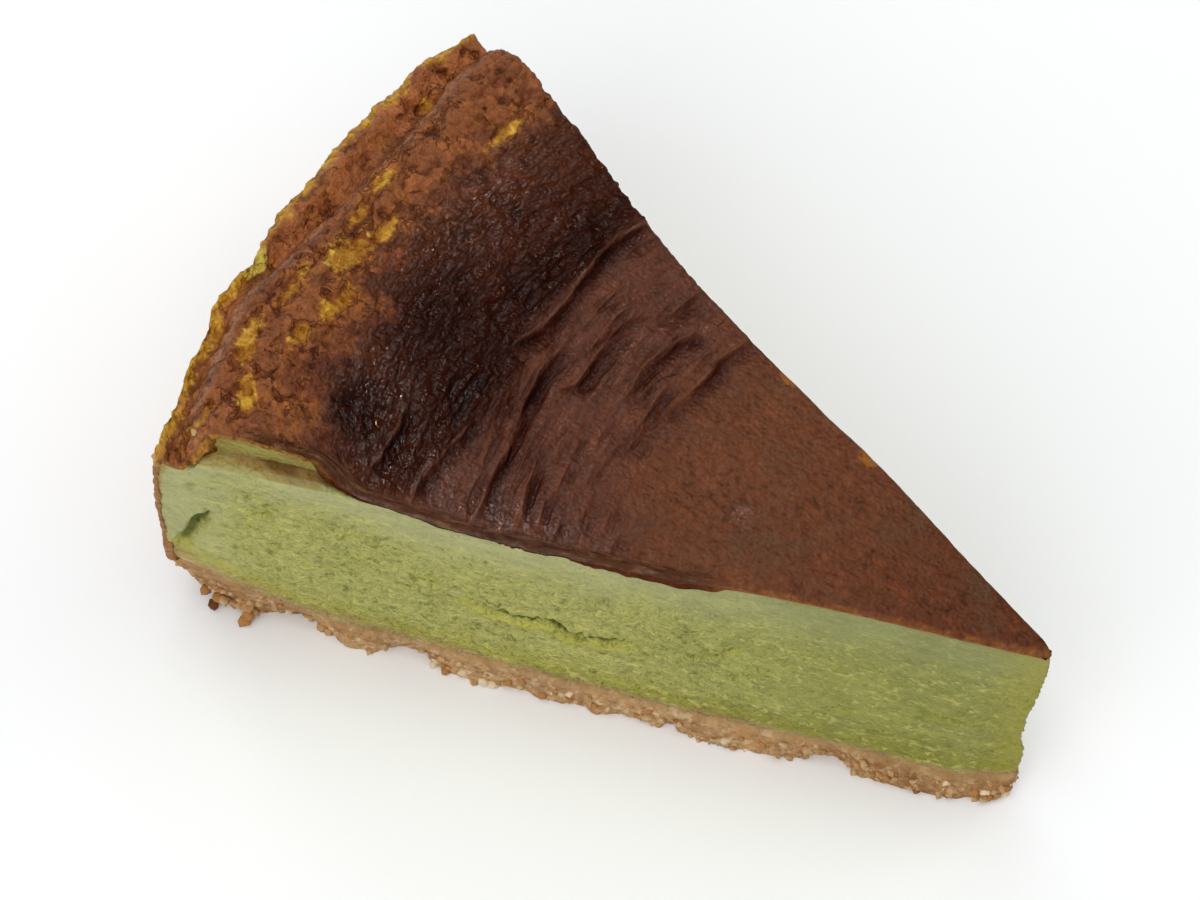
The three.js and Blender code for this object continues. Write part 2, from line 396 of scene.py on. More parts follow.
def nearest_fold(distance, angle):
    """How far a place is outside the line of the wrinkle that shows most there, and its depth."""
    most, nearest, deepest = -1.0, 0.0, 0.0
    for off, depth in fold_lines(distance, angle):
        shows = depth * bell(off + 0.5, 1.6)
        nearest = np.where(shows > most, off, nearest)
        deepest = np.where(shows > most, depth, deepest)
        most = np.maximum(most, shows)
    return nearest, deepest


def top_height(distance, angle):
    """Height of the top at a place."""
    shift = (CREST_IN_PROFILE - crest_line(angle)) * bell(distance - crest_line(angle), CREST_SPREAD)
    return along(TOP_PROFILE, distance + shift) + wrinkled(distance, angle)


print("Top at its rim, mm:", np.round(top_height(np.array([86.0, 90.0, 96.0]), 0.0), 1))

# %% [markdown]
# The cuts
#
# A knife doesn't leave a flat face. The near cut leans out towards the foot, the
# raised rim's part of it stands back behind a shelf, the far cut waves, and both swell
# a little near the tip, which is blunt. Each is a function of the distance, and the lean
# also of the height. The shelf is half a millimetre wider than the solid's.

# %% Shape the cuts
NEAR_LEAN = 1.7
SHELF_WIDTH = 2.6
SHELF_SHARE = 0.88
STRIP_LEAN = 0.26
BLUNTNESS = 0.45
BLUNT_SHARE = 0.6
SHELF_STARTS = (74.5, 81.5)
SHELF_ENDS = (93.8, 95.4)
# Distance, how far the far cut stands out of its plane
FAR_OUT = [
    (0, 0), (2, 0.5), (8, 0.6), (14, 0.5), (25, 0.55), (31, 0.42), (38, 0.12),
    (50, -0.05), (58, -0.22), (66, -0.1), (84, 0.18), (98.3, -0.1),
]


def near_lean(distance, height):
    """How far the near cut stands out of its plane at a place."""
    grows = smoothstep(distance, 0, 8) * fade(distance, 30, 88)
    return NEAR_LEAN * grows * np.maximum(0, 1 - height / TOP_HEIGHT)


def blunt(distance):
    """How far the near cut swells out near the tip, which rounds it."""
    return BLUNTNESS * np.sqrt(1 - np.exp(-distance / 0.9)) * fade(distance, 3, 22)


def far_wave(distance):
    """How far the far cut stands out of its plane at a distance."""
    return along(FAR_OUT, distance)


def shelf_width(distance):
    """How far the raised rim's cut face stands back from the near cut's plane."""
    return SHELF_WIDTH * smoothstep(distance, *SHELF_STARTS) * fade(distance, *SHELF_ENDS)


def edge_round(distance):
    """How far the skin's edge is rounded at a distance."""
    rolled = 0.6 * smoothstep(distance, 46, 58) * fade(distance, 76, 81)
    return 0.45 + rolled - 0.2 * smoothstep(distance, 92, 94.5)


print("Shelf at three distances, mm:", np.round(shelf_width(np.array([76.0, 82, 90])), 2))

# %% [markdown]
# From grids to one closed mesh
#
# Each piece is made of grids of points: the top, a cut, the foot. Where two grids meet,
# they compute the same points, so merging equal points closes the mesh. The same class
# keeps values at each point, such as how burnt it is, for the relief and the materials
# to read later, and lays the grids side by side on one flat map.


# %% Define the mesh builder
class Shell:
    """Grids of points, in millimetres, that become one closed mesh."""

    def __init__(self):
        self.points, self.values, self.quads, self.flat = [], [], [], []
        self.count = 0

    def grid(self, points, values, island, reverse=False):
        """Adds a grid. island is its rectangle on the flat map."""
        rows, columns = points.shape[:2]
        number = np.arange(rows * columns).reshape(rows, columns) + self.count
        quads = np.stack(
            [number[:-1, :-1], number[:-1, 1:], number[1:, 1:], number[1:, :-1]], -1
        ).reshape(-1, 4)
        left, low, right, high = island
        u, v = np.meshgrid(
            np.linspace(left, right, rows), np.linspace(low, high, columns), indexing="ij"
        )
        place = np.stack([u, v], -1).reshape(-1, 2)
        flat = place[quads - self.count]
        self.quads.append(quads[:, ::-1] if reverse else quads)
        self.flat.append(flat[:, ::-1] if reverse else flat)
        self.points.append(points.reshape(-1, 3))
        full = {k: np.broadcast_to(v, (rows, columns)).reshape(-1) for k, v in values.items()}
        self.values.append(full)
        self.count += rows * columns
        return number

    def fan(self, ring, centre, island):
        """Closes a ring of point numbers with triangles about a centre point."""
        middle = self.count
        self.points.append(np.array([centre], float))
        self.values.append({k: np.zeros(1) for k in self.values[0]})
        self.count += 1
        after = np.roll(ring, -1)
        self.quads.append(np.stack([ring, after, np.full_like(ring, middle), ring], -1))
        left, low, right, high = island
        u = np.linspace(left, right, len(ring) + 1)
        corners = [(u[:-1], low), (u[1:], low), ((u[:-1] + u[1:]) / 2, high), (u[:-1], low)]
        flat = [np.stack([a, np.full(len(ring), b)], -1) for a, b in corners]
        self.flat.append(np.stack(flat, 1))

    def build(self, name):
        """The shell as an object with its values as attributes."""
        points = np.concatenate(self.points)
        _, first, same = np.unique(
            np.round(points, 4), axis=0, return_index=True, return_inverse=True
        )
        quads = same.reshape(-1)[np.concatenate(self.quads)]
        flat = np.concatenate(self.flat)
        faces, corners = [], []
        for quad, places in zip(quads.tolist(), flat.tolist()):
            kept = [n for n in range(4) if quad[n] != quad[n - 1]]
            if len(kept) > 2:
                faces.append([quad[n] for n in kept])
                corners.extend(places[n] for n in kept)
        data = bpy.data.meshes.new(name)
        data.from_pydata((points[first] * MM).tolist(), [], faces)
        data.uv_layers.new(name="OFBake").data.foreach_set("uv", np.ravel(corners))
        for key in self.values[0]:
            value = np.concatenate([v[key] for v in self.values])[first]
            data.attributes.new(key, "FLOAT", "POINT").data.foreach_set(
                "value", value.astype(np.float32)
            )
        data.polygons.foreach_set("use_smooth", [True] * len(faces))
        piece = bpy.data.objects.new(name, data)
        bpy.context.scene.collection.objects.link(piece)
        print(f"{name}: {len(first)} points, {len(faces)} faces")
        return piece


print("Shells can be built")


# %% Space the rows
def stations(*runs):
    """Distances from 0, in runs of end and step."""
    found = [0.0]
    for end, step in runs:
        count = round((end - found[-1]) / step)
        found.extend(np.linspace(found[-1], end, count + 1)[1:])
    return np.array(found)


print("Rows to 2 and on to 4 mm:", stations((2, 1), (4, 0.5)))

# %% [markdown]
# The browned skin
#
# The skin is a mesh of its own, and shows about a millimetre thick. It covers the top
# and the outer wall, its edge shows on both cuts, and at one stretch it hangs down over
# the near cut as a flap. So its grid runs on past the edges of the cuts: the last columns
# turn round the edge, lie on the cut and tuck into it. A fan closes it underneath.

# %% Give the skin's rows and edges
SWELL = 0.14
WALL_FOOT = 13.6
# Distance of the first columns from a cut's edge
EDGE_STEPS = np.array([0, 0.05, 0.13, 0.25, 0.42, 0.65, 0.95])
# Share of the way down the skin's edge, the last one tucked in
LAP_STEPS = np.array([0.1, 0.22, 0.35, 0.48, 0.61, 0.73, 0.83, 0.91, 0.97, 1.0])
TUCK = 0.7
# Distance, how far the skin's edge reaches down the near cut
NEAR_LAP = [
    (0, 0.35), (10, 0.25), (30, 0.3), (33.4, 0.5), (36.8, 1.9), (42, 2.2), (49, 1.6),
    (54, 0.8), (62, 0.6), (72, 0.7), (76, 1.2), (78.3, 2.0), (80.2, 1.6), (81.8, 0.6), (91.5, 0.4),
    (93.4, 0.7), (94.3, 1.2), (95.6, 1.1), (96.8, 0.7), (98.3, 0.5),
]
FAR_LAP = [(0, 0.35), (30, 0.5), (60, 0.8), (90, 1.0), (98.3, 1.1)]
top_rows = stations((2, 0.22), (44, 0.36), (70, 0.20), (LEDGE_RADIUS, 0.22))
wall_rows = np.linspace(WALL_TOP, WALL_FOOT, 60)[1:]
MIDDLE_COLUMNS = 172
print("Skin rows on the top and the wall:", len(top_rows), len(wall_rows))


# %% Lay out the skin's grid
def smoothed(values, times):
    """Values blurred along their first axis."""
    for _ in range(times):
        padded = np.concatenate([values[:1], values, values[-1:]])
        values = (padded[:-2] + 2 * padded[1:-1] + padded[2:]) / 4
    return values


def skin_grid():
    """The skin's points, with the distance, angle, height, edge share of each."""
    rows = len(top_rows) + len(wall_rows)
    distance = np.concatenate([top_rows, np.full(len(wall_rows), LEDGE_RADIUS)])[:, None]
    width = np.maximum(distance * math.radians(2 * HALF_ANGLE), 1e-6)
    steps = EDGE_STEPS * np.minimum(1, width / 4)
    middle = np.linspace(0, 1, MIDDLE_COLUMNS + 2)[1:-1]
    inner = steps[:, -1:] + (width - 2 * steps[:, -1:]) * middle
    arc = np.concatenate([steps, inner, width - steps[:, ::-1]], 1)
    share = arc / width
    angle = HALF_ANGLE * (2 * share - 1)
    height = top_height(distance, angle)
    height[len(top_rows):] = wall_rows[:, None]
    near = SWELL + blunt(distance) * BLUNT_SHARE - shelf_width(distance) + 0 * share
    far = SWELL + far_wave(distance) + 0 * share
    near[len(top_rows):] = SWELL
    reach = wall_reach(distance, height)
    slope = np.stack([np.gradient(reach, axis=0), np.gradient(height, axis=0)], -1)
    slope = smoothed(slope / np.linalg.norm(slope, axis=-1, keepdims=True), 4)
    slope /= np.linalg.norm(slope, axis=-1, keepdims=True)
    turn = np.radians(angle)
    outward = np.stack([-np.cos(turn), np.sin(turn), 0 * turn], -1)
    normal = -slope[..., 1:] * outward + slope[..., :1] * np.array([0, 0, 1.0])
    points = slice_point(distance, share, height, near, far)
    rounding = np.where(share < 0.5, edge_round(distance), 0.45) * np.minimum(1, width / 3)
    edge = np.minimum(np.minimum(arc, width - arc) / rounding, 1)
    drop = rounding * (1 - np.sqrt(1 - (1 - edge) ** 2))
    number = np.arange(rows)[:, None]
    on_top = number < len(top_rows)
    wall_lap = 0.22 + 0.5 * fade(height[:, :1], 15, 26)
    near_lap = np.where(on_top, along(NEAR_LAP, distance), wall_lap)
    far_lap = np.where(on_top, along(FAR_LAP, distance), 0.6)
    ragged = 1 + 0.25 * np.sin(number * 0.23) * np.sin(number * 0.071)
    ragged = ragged + 0.09 * np.sin(number * 0.61)
    sides = []
    for column, side, lap in ((0, NEAR_SIDE, near_lap), (-1, FAR_SIDE, far_lap)):
        depth = rounding[:, [column]] + lap * ragged * LAP_STEPS
        out = SWELL * (1 + smoothstep(lap, 1, 2)) * (np.sqrt(1 - LAP_STEPS**3) - 1)
        out[..., -1] -= TUCK
        bulge = 0.35 * smoothstep(lap, 1, 2) * np.sin(LAP_STEPS * 2.4)
        if column == 0:
            bulge = bulge + STRIP_LEAN * np.maximum(0, -near[:, :1]) * depth * 0.5
        side_points = (
            points[:, column][:, None]
            - normal[:, column][:, None] * depth[..., None]
            + side * (out + bulge)[..., None]
        )
        sides.append(side_points)
    points = points - normal * drop[..., None]
    points = np.concatenate([sides[0][:, ::-1], points, sides[1]], 1)
    wide = [(0, 0), (len(LAP_STEPS), len(LAP_STEPS))]
    lap_share = np.concatenate([LAP_STEPS[::-1], np.zeros(share.shape[1]), LAP_STEPS])
    return {
        "points": points,
        "distance": np.broadcast_to(distance, points.shape[:2]),
        "angle": np.pad(angle, wide, mode="edge"),
        "height": points[..., 2],
        "edge": np.broadcast_to(lap_share, points.shape[:2]),
        "margin": np.pad(arc, wide, mode="edge"),
        "wall": np.pad(np.where(on_top, distance - LEDGE_RADIUS, WALL_TOP - height), wide, mode="edge"),
    }


skin_places = skin_grid()
print("Skin grid:", skin_places["points"].shape[:2])

# %% [markdown]
# Marks on the skin
#
# The skin's colour changes from zone to zone: brown and smooth at the tip, wrinkled,
# burnt nearly black, then mottled brown plates with ochre gaps at the rim. Each zone
# is kept as a distance to its border or as a soft mask at every point. The materials
# roughen those borders with noise, so they don't look drawn.

# %% Place the skin's zones
# Angle, distance of the burnt zone's inner and outer edge
BURNT_FROM = [(-18.7, 73), (-15, 70.5), (-11, 67.5), (-8, 65.6), (-1, 65.4), (0.5, 67), (18.7, 67.6)]
BURNT_TO = [
    (-18.7, 81), (-15, 82.5), (-10, 83.8), (-6, 83.0), (-4, 82.0), (-2, 84.0), (1.5, 85.6),
    (5, 84.6), (9, 83.6), (14, 83.8), (18.7, 82.4),
]
# Distance, angle, spread along and across
OCHRE_PATCHES = [
    (88.5, -1.4, 1.8, 1.9), (87.4, -0.4, 1.2, 2.0), (86.1, -5.2, 1.2, 2.0), (85.6, -4.2, 0.9, 1.5),
    (93.3, -9.6, 1.2, 2.8), (92.6, -11.4, 1.1, 2.6), (90.8, -14.8, 1.0, 2.2), (90.0, -16.0, 0.9, 1.8),
    (84.4, 13.8, 0.7, 2.4), (86.2, 1.6, 0.7, 2.4),
    (94.9, -16.9, 1.2, 1.6), (90.3, 5.5, 0.8, 2.6), (88.0, -8.6, 0.9, 1.8), (94.8, 12.7, 0.8, 1.2),
    (91.5, -5.0, 0.9, 2.6), (89.8, 1.8, 0.8, 2.2),
]
# The first two lie on the smooth top and are amber, the others on the rim and are golden
AMBER_SPOTS = [
    (29.5, 18.0, 1.3, 0.9), (42.6, 18.3, 1.2, 0.5), (88.4, -1.5, 1.7, 2.1), (93.2, -9.8, 0.8, 2.0),
]
BARE_PATCHES = [(97.6, -3.6, 0.9, 2.0)]
DARK_CORES = [
    (69.8, -3.0, 5.5, 12.0), (70.2, 6.5, 4.0, 9.0), (70.0, 13.5, 3.0, 7.0), (79.0, -12.5, 4.5, 6.0),
    (76.0, -2.0, 6.5, 9.0),
]
# Where the skin is wet and glints most
MOIST_SPOTS = [
    (77.0, -9.5, 4.0, 5.0), (73.0, -14.5, 5.0, 4.0), (66.0, -16.0, 5.0, 3.0), (58.0, -16.8, 8.0, 2.5),
    (80.0, 8.0, 3.5, 9.0), (36.5, -4.8, 0.9, 1.2),
]
print("Golden patches at the rim:", len(OCHRE_PATCHES))


# %% Mark the skin's zones
def patches(spots, distance, angle):
    """A soft mask of oval spots."""
    mask = 0.0
    for radius, turn, deep, wide in spots:
        arc = np.radians(angle - turn) * radius
        mask = np.maximum(mask, np.exp(-(((distance - radius) / deep) ** 2) - (arc / wide) ** 2))
    return mask


def skin_marks(places):
    """Values kept at each point of the skin."""
    distance, angle, wall = places["distance"], places["angle"], places["wall"]
    inside = np.minimum(distance - along(BURNT_FROM, angle), along(BURNT_TO, angle) - distance)
    fold_off, fold_depth = nearest_fold(distance, angle)
    return {
        "distance": distance,
        "arc": np.radians(angle) * distance,
        "burnt": inside,
        "rimward": distance - along(BURNT_TO, angle),
        "crest": distance - crest_line(angle),
        "ochre": patches(OCHRE_PATCHES, distance, angle),
        "amber": patches(AMBER_SPOTS, distance, angle),
        "bare": patches(BARE_PATCHES, distance, angle) * fade(wall, 0.3, 2.0),
        "core": patches(DARK_CORES, distance, angle),
        "wrinkly": smoothstep(distance, 44, 52) * fade(distance, 70, 78),
        "wall": wall,
        "fold_off": fold_off,
        "fold_depth": fold_depth,
        "moist": patches(MOIST_SPOTS, distance, angle),
        "edge": places["edge"],
        "margin": places["margin"],
        "rolled": smoothstep(distance, 33, 40) * fade(distance, 86, 92) * (angle < 0),
    }


print("Burnt band in the middle, mm:", along(BURNT_FROM, 0.0).round(1), along(BURNT_TO, 0.0).round(1))


# %% Build the skin
def make_skin():
    """The skin as one closed mesh."""
    shell = Shell()
    number = shell.grid(skin_places["points"], skin_marks(skin_places), (0.01, 0.01, 0.97, 0.99))
    ring = np.concatenate([number[:, 0], number[-1, 1:], number[::-1, -1][1:], number[0, ::-1][1:-1]])
    shell.fan(ring, (-15.0, 0.0, 33.0), (0.98, 0.01, 0.995, 0.99))
    return shell.build("skin")


skin = make_skin()

# %% [markdown]
# The custard
#
# The custard shows on both cuts. It is a block: the cuts are fine grids, while its top,
# foot and wall, which are always covered, need few columns. Its levels run from the
# foot up to the shelf, back over it, and up the strip of the raised rim.

# %% Lay out the custard's grid
SKIN_THICKNESS = 0.75
EDGE_THICKNESS = 0.35
FOOT_OVERLAP = 0.5
SHELF_ROUND = 0.35
SHELF_HOLLOW = 0.3
COVER_DEPTH = 1.6
CUT_MARGIN = 0.03
LEVEL_COUNTS = (104, 5, 7, 4, 16)
custard_rows = stations((2.2, 0.2), (40, 0.33), (70, 0.28), (LEDGE_RADIUS, 0.25))
COVERED_SHARES = np.array([0, 0.03, 0.12, 0.3, 0.5, 0.7, 0.88, 0.97, 1])


def level_legs():
    """For each level, how far it is along each leg of the near cut's section."""
    ends = np.cumsum((0, *LEVEL_COUNTS))
    levels = np.arange(ends[-1] + 1)
    return [np.clip((levels - a) / (b - a), 0, 1) for a, b in zip(ends, ends[1:])]


def off_cuts(share):
    """0 on both cuts and 1 a little away from them."""
    return smoothstep(np.minimum(share, 1 - share), 0, CUT_MARGIN)


def under_skin(distance, share):
    """Height of the custard's covered top: the skin's height less its thickness, which
    is measured square to the skin, and deeper away from the cuts."""
    angle = HALF_ANGLE * (2 * share - 1)
    depth = SKIN_THICKNESS + COVER_DEPTH * off_cuts(share)
    lowest = np.full(np.broadcast(distance, share).shape, np.inf)
    for step in np.linspace(-1, 1, 9):
        cover = depth * math.sqrt(1 - step * step)
        lowest = np.minimum(lowest, top_height(distance + depth * step, angle) - cover)
    return lowest


def custard_point(distance, share, level):
    """A point of the custard's surface, and its height below the skin."""
    rise, corner, back, hollow, strip = (leg[level] for leg in level_legs())
    foot = layer_height(distance) - FOOT_OVERLAP
    top = under_skin(distance, share)
    shelf = np.minimum(TOP_HEIGHT, top - 0.9)
    whole = shelf_width(distance)
    width = SHELF_SHARE * whole
    small = SHELF_ROUND * np.minimum(1, width / (2 * SHELF_ROUND))
    height = foot + (shelf - SHELF_ROUND - foot) * rise
    height = height + SHELF_ROUND * np.sin(corner * math.pi / 2)
    height = height + SHELF_HOLLOW * (1 - np.cos(hollow * math.pi / 2))
    height = height + (top - shelf - SHELF_HOLLOW) * strip
    stands_back = small * (1 - np.cos(corner * math.pi / 2)) + (width - 2 * small) * back
    stands_back = stands_back + small * np.sin(hollow * math.pi / 2) + (whole - width) * strip
    near = near_lean(distance, height) + blunt(distance) * BLUNT_SHARE - stands_back
    inset = EDGE_THICKNESS + (SKIN_THICKNESS - EDGE_THICKNESS) * off_cuts(share)
    points = slice_point(distance, share, height, near, far_wave(distance), inset)
    there = smoothstep(width, 0.15, 0.6)
    on_shelf = smoothstep(corner, 0.2, 1) * fade(strip, 0, 0.2) * there
    on_strip = smoothstep(strip, 0, 0.15) * there
    return points, height, on_shelf * (0.35 + 0.65 * smoothstep(back, 0.4, 1)), on_strip


print("Custard rows and levels:", len(custard_rows), sum(LEVEL_COUNTS))

# %% [markdown]
# Torn places on the near cut
#
# The custard has one long crack with a raised lower lip, a torn hollow where it came
# away from its wall, and a few small tears. Each is a line of points, and the cut is
# moved in by a bell of the distance to that line. This is carving, before any texture.

# %% Place the crack and the tears
CRACK_DEPTH = 0.6
CRACK_LIP = 0.5
TEAR_DEPTH = 1.9
TEAR_LIP = 0.5
SMALL_TEAR_DEPTH = 0.55
SMALL_TEAR_LIP = 0.15
HOLE_DEPTH = 1.1
# Distance from the tip, height
CRACK = [
    (65, 22.2), (63.9, 21.6), (60, 20), (56.8, 20), (54.8, 21.2), (52.2, 18.9), (47.9, 19.2),
    (45.9, 20.4), (43, 18.8),
]
TEAR = [
    (92.9, 29.6), (93.7, 28.2), (94.6, 25.8), (95.3, 23.3), (96.2, 20.8), (97.3, 18.6), (98.2, 17.0),
]
SMALL_TEARS = [
    [(38, 20.5), (35, 22.5), (33.5, 24.6)], [(34, 17.5), (31, 18.8)], [(88.5, 31.6), (86.6, 32.1)],
    [(78, 31.0), (74.6, 31.6)], [(70.5, 24.4), (68.5, 23.4)], [(12, 20), (8, 19.2), (6, 20.5)],
    [(22, 15), (19.5, 16)],
]
HOLE = (94.8, 35.2)
HOLE_RADIUS = 0.5
print("Small tears:", len(SMALL_TEARS))


# %% Carve the near cut
def off_line(line, distance, height):
    """Distance to a line of points, the signed height over it, and the share along it."""
    best = np.full(distance.shape, 1e9)
    over, share = np.zeros(distance.shape), np.zeros(distance.shape)
    for n, (start, end) in enumerate(zip(line, line[1:])):
        step = np.subtract(end, start)
        t = ((distance - start[0]) * step[0] + (height - start[1]) * step[1]) / (step @ step)
        t = np.clip(t, 0, 1)
        across, up = distance - start[0] - t * step[0], height - start[1] - t * step[1]
        away = np.hypot(across, up)
        closer = away < best
        best = np.where(closer, away, best)
        over = np.where(closer, up, over)
        share = np.where(closer, (n + t) / (len(line) - 1), share)
    return best, over, share


def near_carving(distance, height):
    """How far the near cut is moved out, and how torn it is, at a place."""
    wobble = 0.22 * np.sin(distance * 2.9) + 0.15 * np.sin(distance * 6.1 + 1)
    away, over, share = off_line(CRACK, distance, height + wobble)
    tapers = np.sqrt(np.clip(4 * share * (1 - share), 0, 1))
    ragged = 0.75 + 0.35 * np.sin(distance * 1.9) * np.sin(distance * 0.83 + 1)
    crack = np.where(over > 0, bell(away, 0.32), bell(away, 0.72 * ragged)) * tapers
    lip = bell(away - 1.3, 0.6) * (over < 0) * tapers
    away, over, share = off_line(TEAR, distance + 0.9 * wobble, height - 0.8 * wobble)
    tear = np.where(over > 0, bell(away, 0.35), bell(away, 0.7 + 0.9 * np.sqrt(share)))
    tear = tear * smoothstep(share, 0, 0.25) * fade(distance, 96.1, 97.7)
    torn = np.maximum(crack, tear)
    flap = bell(away - 0.9, 0.6) * (over > 0) * (share > 0)
    moved = -CRACK_DEPTH * crack + CRACK_LIP * lip - TEAR_DEPTH * tear + TEAR_LIP * flap
    for line in SMALL_TEARS:
        away, over, _ = off_line(line, distance, height + wobble)
        small = bell(away, 0.4)
        raised = bell(away - 0.7, 0.4) * (over < 0)
        moved = moved - SMALL_TEAR_DEPTH * small + SMALL_TEAR_LIP * raised
        torn = np.maximum(torn, 0.6 * small)
    hole = bell(np.hypot(distance - HOLE[0], height - HOLE[1]), HOLE_RADIUS)
    deepest = 0.25 + 0.5 * np.maximum(LEDGE_RADIUS - 0.5 - distance, 0)
    border = smoothstep(height - layer_height(distance) + FOOT_OVERLAP, 0, 0.8)
    border = border * fade(distance, LEDGE_RADIUS - 0.8, LEDGE_RADIUS)
    return np.maximum(moved - HOLE_DEPTH * hole, -deepest) * border, np.maximum(torn, hole), lip


sample = near_carving(np.array([50.0]), np.array([19.0]))
print("Cut moved at a place in the crack, mm:", sample[0].round(2))


# %% Build the custard
def custard_values(distance, height, share, **marks):
    """Values kept at each point of the custard. The marks differ from face to face."""
    near = share < 0.5
    top = top_height(distance, np.where(near, -HALF_ANGLE, HALF_ANGLE))
    wall = along(WALL_PROFILE, height) - distance
    return {
        "distance": distance + 0 * height,
        "below_skin": np.minimum(top - height, np.maximum(wall, 0) + 0 * height),
        "above_foot": height - layer_height(distance),
        **{name: marks.get(name, 0.0) + 0 * height for name in ("torn", "lip", "shelf", "strip")},
        "tip": fade(distance, 0, TIP_LENGTH) + 0 * height,
    }


def make_custard():
    """The custard as one closed mesh."""
    shell = Shell()
    rows, last = custard_rows[:, None], sum(LEVEL_COUNTS)
    levels = np.arange(last + 1)[None, :]
    spans = {"near": (0.01, 0.01, 0.99, 0.40), "far": (0.01, 0.42, 0.99, 0.81)}
    for name, share, side in (("near", 0.0, NEAR_SIDE), ("far", 1.0, FAR_SIDE)):
        points, height, shelf, strip = custard_point(rows, share, levels)
        marks = {}
        if name == "near":
            moved, torn, lip = near_carving(rows + 0 * height, height)
            points = points + side * moved[..., None]
            marks = {"torn": torn, "lip": lip, "shelf": shelf, "strip": strip}
        values = custard_values(rows, height, share, **marks)
        shell.grid(points, values, spans[name], reverse=name == "near")
    for level, island in ((last, (0.01, 0.83, 0.99, 0.88)), (0, (0.01, 0.90, 0.99, 0.95))):
        points, height, _, _ = custard_point(rows, COVERED_SHARES[None, :], np.full((1, 1), level))
        shell.grid(points, custard_values(rows, height, 0.0), island, reverse=level == 0)
    points, height, _, _ = custard_point(LEDGE_RADIUS, COVERED_SHARES[:, None], levels)
    values = custard_values(np.full((1, 1), LEDGE_RADIUS), height, 0.0)
    shell.grid(points, values, (0.01, 0.96, 0.99, 0.99), reverse=True)
    return shell.build("custard")


custard = make_custard()

# %% [markdown]
# The biscuit layer
#
# The crumbs spill out in lumps at the near cut's foot, with a notch and a lost piece,
# and turn up where the pan's wall was. The layer is a block like the custard, with a
# curve for how far its lower edge stands out. The grain comes in the next steps.

# %% Give the biscuit layer's edges
# Distance, how far the lower edge stands out of the near cut's plane
NEAR_SPILL = [
    (0, 0.6), (1, 0.9), (2.5, 1.6), (4, 1.4), (5.5, 1.8), (10, 2.1), (13, 2.2), (17.3, 2.1), (19, 1.0),
    (21.5, 0.2), (25, 1.6), (28, 2.0), (34, 2.0), (38.5, 1.6), (40, 0.7), (43, 1.2), (46, 1.0), (49, 1.9),
    (50.5, 1.0), (55, 1.3), (58, 0.8), (64, 1.0), (66, 0.8), (68.5, 0.1), (70, -1.5), (73, -1.3),
    (74.5, -0.6), (76, 0.4), (79, 0.3), (80.5, -0.4), (82, -1.2), (83.5, -1.9), (85.5, -2.7), (88, -2.2),
    (90.5, -1.5), (92.5, -1.8), (94, -2.0), (96, -2.4), (97.3, -3.0), (98.3, -3.3),
]
FAR_SPILL = [
    (0, 0.4), (8, 1.6), (15, 0.9), (24, 1.9), (33, 0.8), (41, 1.6), (50, 2.1), (58, 1.0),
    (66, 1.7), (74, 0.6), (83, 1.3), (90, 0.4), (98.3, 0.2),
]
CORNER_LOSS = 1.4
CORNER_LOSS_TOP = 8.0
LAYER_PROUD = 0.35
LAYER_TUCK = 0.65
BISCUIT_LEVELS = 30
biscuit_rows = stations((2, 0.2), (LEDGE_RADIUS, 0.2))
BISCUIT_SHARES = np.array([0, 0.03, 0.1, 0.2, 0.35, 0.5, 0.65, 0.8, 0.9, 0.97, 1])
print("Biscuit rows and levels:", len(biscuit_rows), BISCUIT_LEVELS)


# %% Lay out the biscuit layer
def biscuit_point(distance, share, level):
    """A point of the biscuit layer's surface, and its height."""
    rise = level / BISCUIT_LEVELS
    full = layer_height(distance)
    height = full * rise
    low = (1 - rise) ** 0.8
    near = near_lean(distance, height) * rise + along(NEAR_SPILL, distance) * low
    proud = LAYER_PROUD - LAYER_TUCK * smoothstep(rise, 0.86, 1.0)
    near = near + blunt(distance) * BLUNT_SHARE + proud
    far = far_wave(distance) + along(FAR_SPILL, distance) * low + proud
    points = slice_point(distance, share, height, near, far, 0.2)
    lost = CORNER_LOSS * np.clip(1 - height / CORNER_LOSS_TOP, 0, 1)
    lost = lost * smoothstep(distance, 88, LEDGE_RADIUS)
    lost = lost * fade(share, 0, 0.12)
    inward = np.array([math.cos(HALF_TURN), math.sin(HALF_TURN), 0])
    return points + lost[..., None] * inward, height


print("Layer's height at the tip and the wall, mm:", layer_height(np.array([0.0, LEDGE_RADIUS])))


# %% Build the biscuit layer
def biscuit_values(distance, height, cut=0.0):
    """Values kept at each point of the biscuit layer, where cut is 1 on its sides."""
    rise = height / layer_height(distance)
    crowded = 0.25 + 0.75 * fade(distance, 22, 34) + 0.5 * (1 - rise)
    return {
        "distance": distance + 0 * height,
        "rise": rise,
        "crumbs": cut * crowded * fade(rise, 0.6, 0.85),
    }


def make_biscuit():
    """The biscuit layer as one closed mesh."""
    shell = Shell()
    rows, levels = biscuit_rows[:, None], np.arange(BISCUIT_LEVELS + 1)[None, :]
    for share, island in ((0.0, (0.01, 0.01, 0.99, 0.22)), (1.0, (0.01, 0.24, 0.99, 0.45))):
        points, height = biscuit_point(rows, share, levels)
        shell.grid(points, biscuit_values(rows, height, 1.0), island, reverse=share == 0)
    for level, island in ((BISCUIT_LEVELS, (0.01, 0.47, 0.99, 0.55)), (0, (0.01, 0.57, 0.99, 0.84))):
        points, height = biscuit_point(rows, BISCUIT_SHARES[None, :], level)
        shell.grid(points, biscuit_values(rows, height), island, reverse=level == 0)
    for end, island in ((LEDGE_RADIUS, (0.01, 0.86, 0.99, 0.95)), (0.0, (0.01, 0.96, 0.99, 0.99))):
        points, height = biscuit_point(end, BISCUIT_SHARES[:, None], levels)
        values = biscuit_values(np.full((1, 1), end), height, 1.0)
        shell.grid(points, values, island, reverse=end > 0)
    return shell.build("biscuit")


biscuit = make_biscuit()

